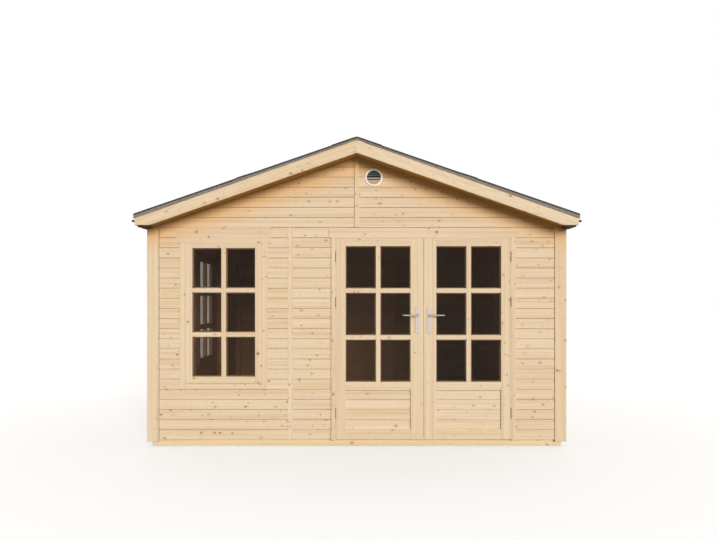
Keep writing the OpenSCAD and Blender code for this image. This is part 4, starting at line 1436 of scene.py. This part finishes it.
flap_shell = bmesh.new()
flap_rows = [(FLAP_TOP - (bore + FLAP_TOP) * share * 0.998, FLAP_CROWN * math.sin(math.pi * share))
             for share in evenly(0, 1, FLAP_ROWS)]
blade(flap_shell, [(height, FLAP_DEPTH[0] + crown) for height, crown in flap_rows]
      + [(height, FLAP_DEPTH[1]) for height, crown in flap_rows[::-1]])
vent_part("vent_flap", flap_shell, moulded("vent_beige", srgb(180, 152, 122), srgb(164, 136, 108), 0.5))

bar_shell = bmesh.new()
bar_pale = moulded("vent_pale", srgb(196, 188, 180), srgb(182, 172, 160), 0.45)
bar_back, bar_side, bar_face = BAR_DEPTH
blade(bar_shell, [(BAR_FOOT, bar_back), (BAR_FOOT, bar_side), (BAR_FOOT + BAR_ROUND, bar_face),
                  (BAR_HEAD - BAR_ROUND, bar_face), (BAR_HEAD, bar_side), (BAR_HEAD, bar_back)])
vent_part("vent_middle_bar", bar_shell, bar_pale)


# Nails: small zinc heads, driven almost flush, that hold the outer boards of the posts, the casings,
# the heads, the jambs and the bargeboards.

NAIL_R = 0.0023
NAIL_PROUD = 0.0005
NAIL_IN = -0.002
NAIL_PROFILE = ((0, NAIL_IN), (NAIL_R, NAIL_IN), (NAIL_R, NAIL_PROUD * 0.4), (NAIL_R * 0.6, NAIL_PROUD),
                (0, NAIL_PROUD))
NAIL_STEPS = 12
NAIL_EVERY = 0.36
POST_NAILS = (0.05, 0.08, 0.02)
BARGE_NAILS = (0.1, 6)
BARGE_NAIL_DROPS = (0.03, 0.095)
CASING_NAILS = (0.03, 4)
HEAD_NAIL_END = 0.025
SIDE_CASING_T = 0.1
SIDE_HEAD_T = 0.03
nail_shell = bmesh.new()


def nail(x, height, face):
    """A nail head in a board that faces the front, or the back where face is behind the middle."""
    place = BACK if face > 0 else FRONT
    middle = (-x if face > 0 else x, height, abs(face))
    lathe(nail_shell, place @ Matrix.Translation(middle), NAIL_PROFILE, NAIL_STEPS)


post_foot, post_head, post_edge = POST_NAILS
for end in (-1, 1):
    for side in (-1, 1):
        rows = round((eave_cut - post_low.z) / NAIL_EVERY)
        for height in evenly(post_low.z + post_foot, eave_cut - post_head, rows):
            for x in (post_in + post_edge, post_out - post_edge):
                nail(side * x, height, end * (post_out - POST_BACK))
        for run in evenly(BARGE_NAILS[0], roof_half - BARGE_NAILS[0], BARGE_NAILS[1]):
            for drop in BARGE_NAIL_DROPS:
                nail(side * run, barge_top - run * slope - drop, end * verge_out)
for low, high in solids("window_casings"):
    if high.x - low.x < SIDE_CASING_T:
        continue
    for height in evenly(low.z + CASING_NAILS[0], high.z - CASING_NAILS[0], CASING_NAILS[1]):
        for x in (low.x + CASING_W / 2, high.x - CASING_W / 2):
            nail(x, height, low.y + CASING_BACK)
for node, back in (("window_heads", HEAD_BACK), ("door_head", DOOR_HEAD_BACK), ("door_jambs", 0.0)):
    for low, high in solids(node):
        size = high - low
        if size.x < SIDE_HEAD_T:
            continue
        middle = (low + high) / 2
        reach = max(size.x, size.z)
        for along in evenly(HEAD_NAIL_END, reach - HEAD_NAIL_END, max(2, round(reach / NAIL_EVERY))):
            if size.z > size.x:
                nail(middle.x + math.copysign(JAMB_SLIM.x / 2, -low.x), low.z + along, low.y + back)
            else:
                nail(low.x + along, middle.z, low.y + back)
fit("nail_heads", nail_shell, zinc, "satin_metal", "cabin")


# Studio: a plain pale floor that keeps a faint shadow, a low soft lamp from the front, a little to
# the right, and a white surround that lights the back more than the front, where its fill is warm.

FLOOR_REACH = 60.0
FLOOR_SHOWN = (0.42, 0.42, 0.42, 1.0)
FLOOR_BOUNCE = (0.16, 0.16, 0.16, 1.0)
FLOOR_GLOW = 0.56
AMBIENT_FRONT = 0.28
AMBIENT_BACK = 1.45
AMBIENT_TURN = (-0.55, 0.45)
WARM_FRONT = (1.0, 0.86, 0.64, 1.0)
WHITE = (1.0, 1.0, 1.0, 1.0)
KEY_WAY = Vector((-0.28, 0.93, -0.25))


def shown_rays(tree):
    """1 for rays that show the surround: from the camera, off metal and through glass."""
    path = add(tree, "ShaderNodeLightPath", {})
    through = sums(tree, "MAXIMUM", path["Is Glossy Ray"], path["Is Transmission Ray"])
    return sums(tree, "MAXIMUM", path["Is Camera Ray"], through)


floor_mesh = bpy.data.meshes.new("studio_floor")
floor_corners = rectangle((-FLOOR_REACH, -FLOOR_REACH), (FLOOR_REACH, FLOOR_REACH))
floor_mesh.from_pydata([(x, y, 0) for x, y in floor_corners], [], [(0, 1, 2, 3)])
studio_floor = stand("studio_floor", floor_mesh)
pale, pale_tree, pale_shader = new_finish("pale_floor")
floor_seen = shown_rays(pale_tree)
feed(pale_tree, pale_shader, {"Base Color": blend(pale_tree, floor_seen, FLOOR_BOUNCE, FLOOR_SHOWN),
                              "Roughness": 0.9, "Specular IOR Level": 0.0})
glow_share = sums(pale_tree, "MULTIPLY", floor_seen, FLOOR_GLOW)
glow = add(pale_tree, "ShaderNodeEmission", {"Strength": glow_share})[0]
both = add(pale_tree, "ShaderNodeAddShader", {0: pale_shader.outputs[0], 1: glow})[0]
feed(pale_tree, pale_tree.nodes["Material Output"], {"Surface": both})
floor_mesh.materials.append(pale)

world = bpy.data.worlds.new("white_surround")
bpy.context.scene.world = world
world.use_nodes = True
world_tree = world.node_tree
world_seen = shown_rays(world_tree)
world_way = add(world_tree, "ShaderNodeTexCoord", {})["Generated"]
depth_way = add(world_tree, "ShaderNodeSeparateXYZ", {0: world_way})[1]
ambient = ramp(world_tree, depth_way, *AMBIENT_TURN, AMBIENT_FRONT, AMBIENT_BACK)
whiter = sums(world_tree, "MAXIMUM", ramp(world_tree, depth_way, *AMBIENT_TURN), world_seen)
surround = add(world_tree, "ShaderNodeMix", {0: world_seen, 2: ambient, 3: 1.0}, data_type="FLOAT")[0]
feed(world_tree, world_tree.nodes["Background"],
     {"Color": blend(world_tree, whiter, WARM_FRONT, WHITE), "Strength": surround})

key = bpy.data.lights.new("key", "SUN")
key.energy = 3.05
key.color = (0.96, 1.0, 1.05)
key.angle = math.radians(26)
key_lamp = stand("key", key)
key_lamp.rotation_euler = KEY_WAY.to_track_quat("-Z", "Y").to_euler()
key_lamp.visible_glossy = False
key_lamp.visible_transmission = False


# Camera: a level camera straight in front of the cabin, a little higher than the door handles.
# A small shift sets the cabin at its height in the picture.

camera = bpy.data.cameras.new("camera")
camera.sensor_width = 36.0
camera.lens = 29.4
camera.shift_y = 0.0447
camera_object = stand("camera", camera)
camera_object.location = (0.011, -6.975, 1.272)
camera_object.rotation_euler = (math.pi / 2, 0, 0)
bpy.context.scene.camera = camera_object
bpy.context.scene.view_settings.view_transform = "Standard"
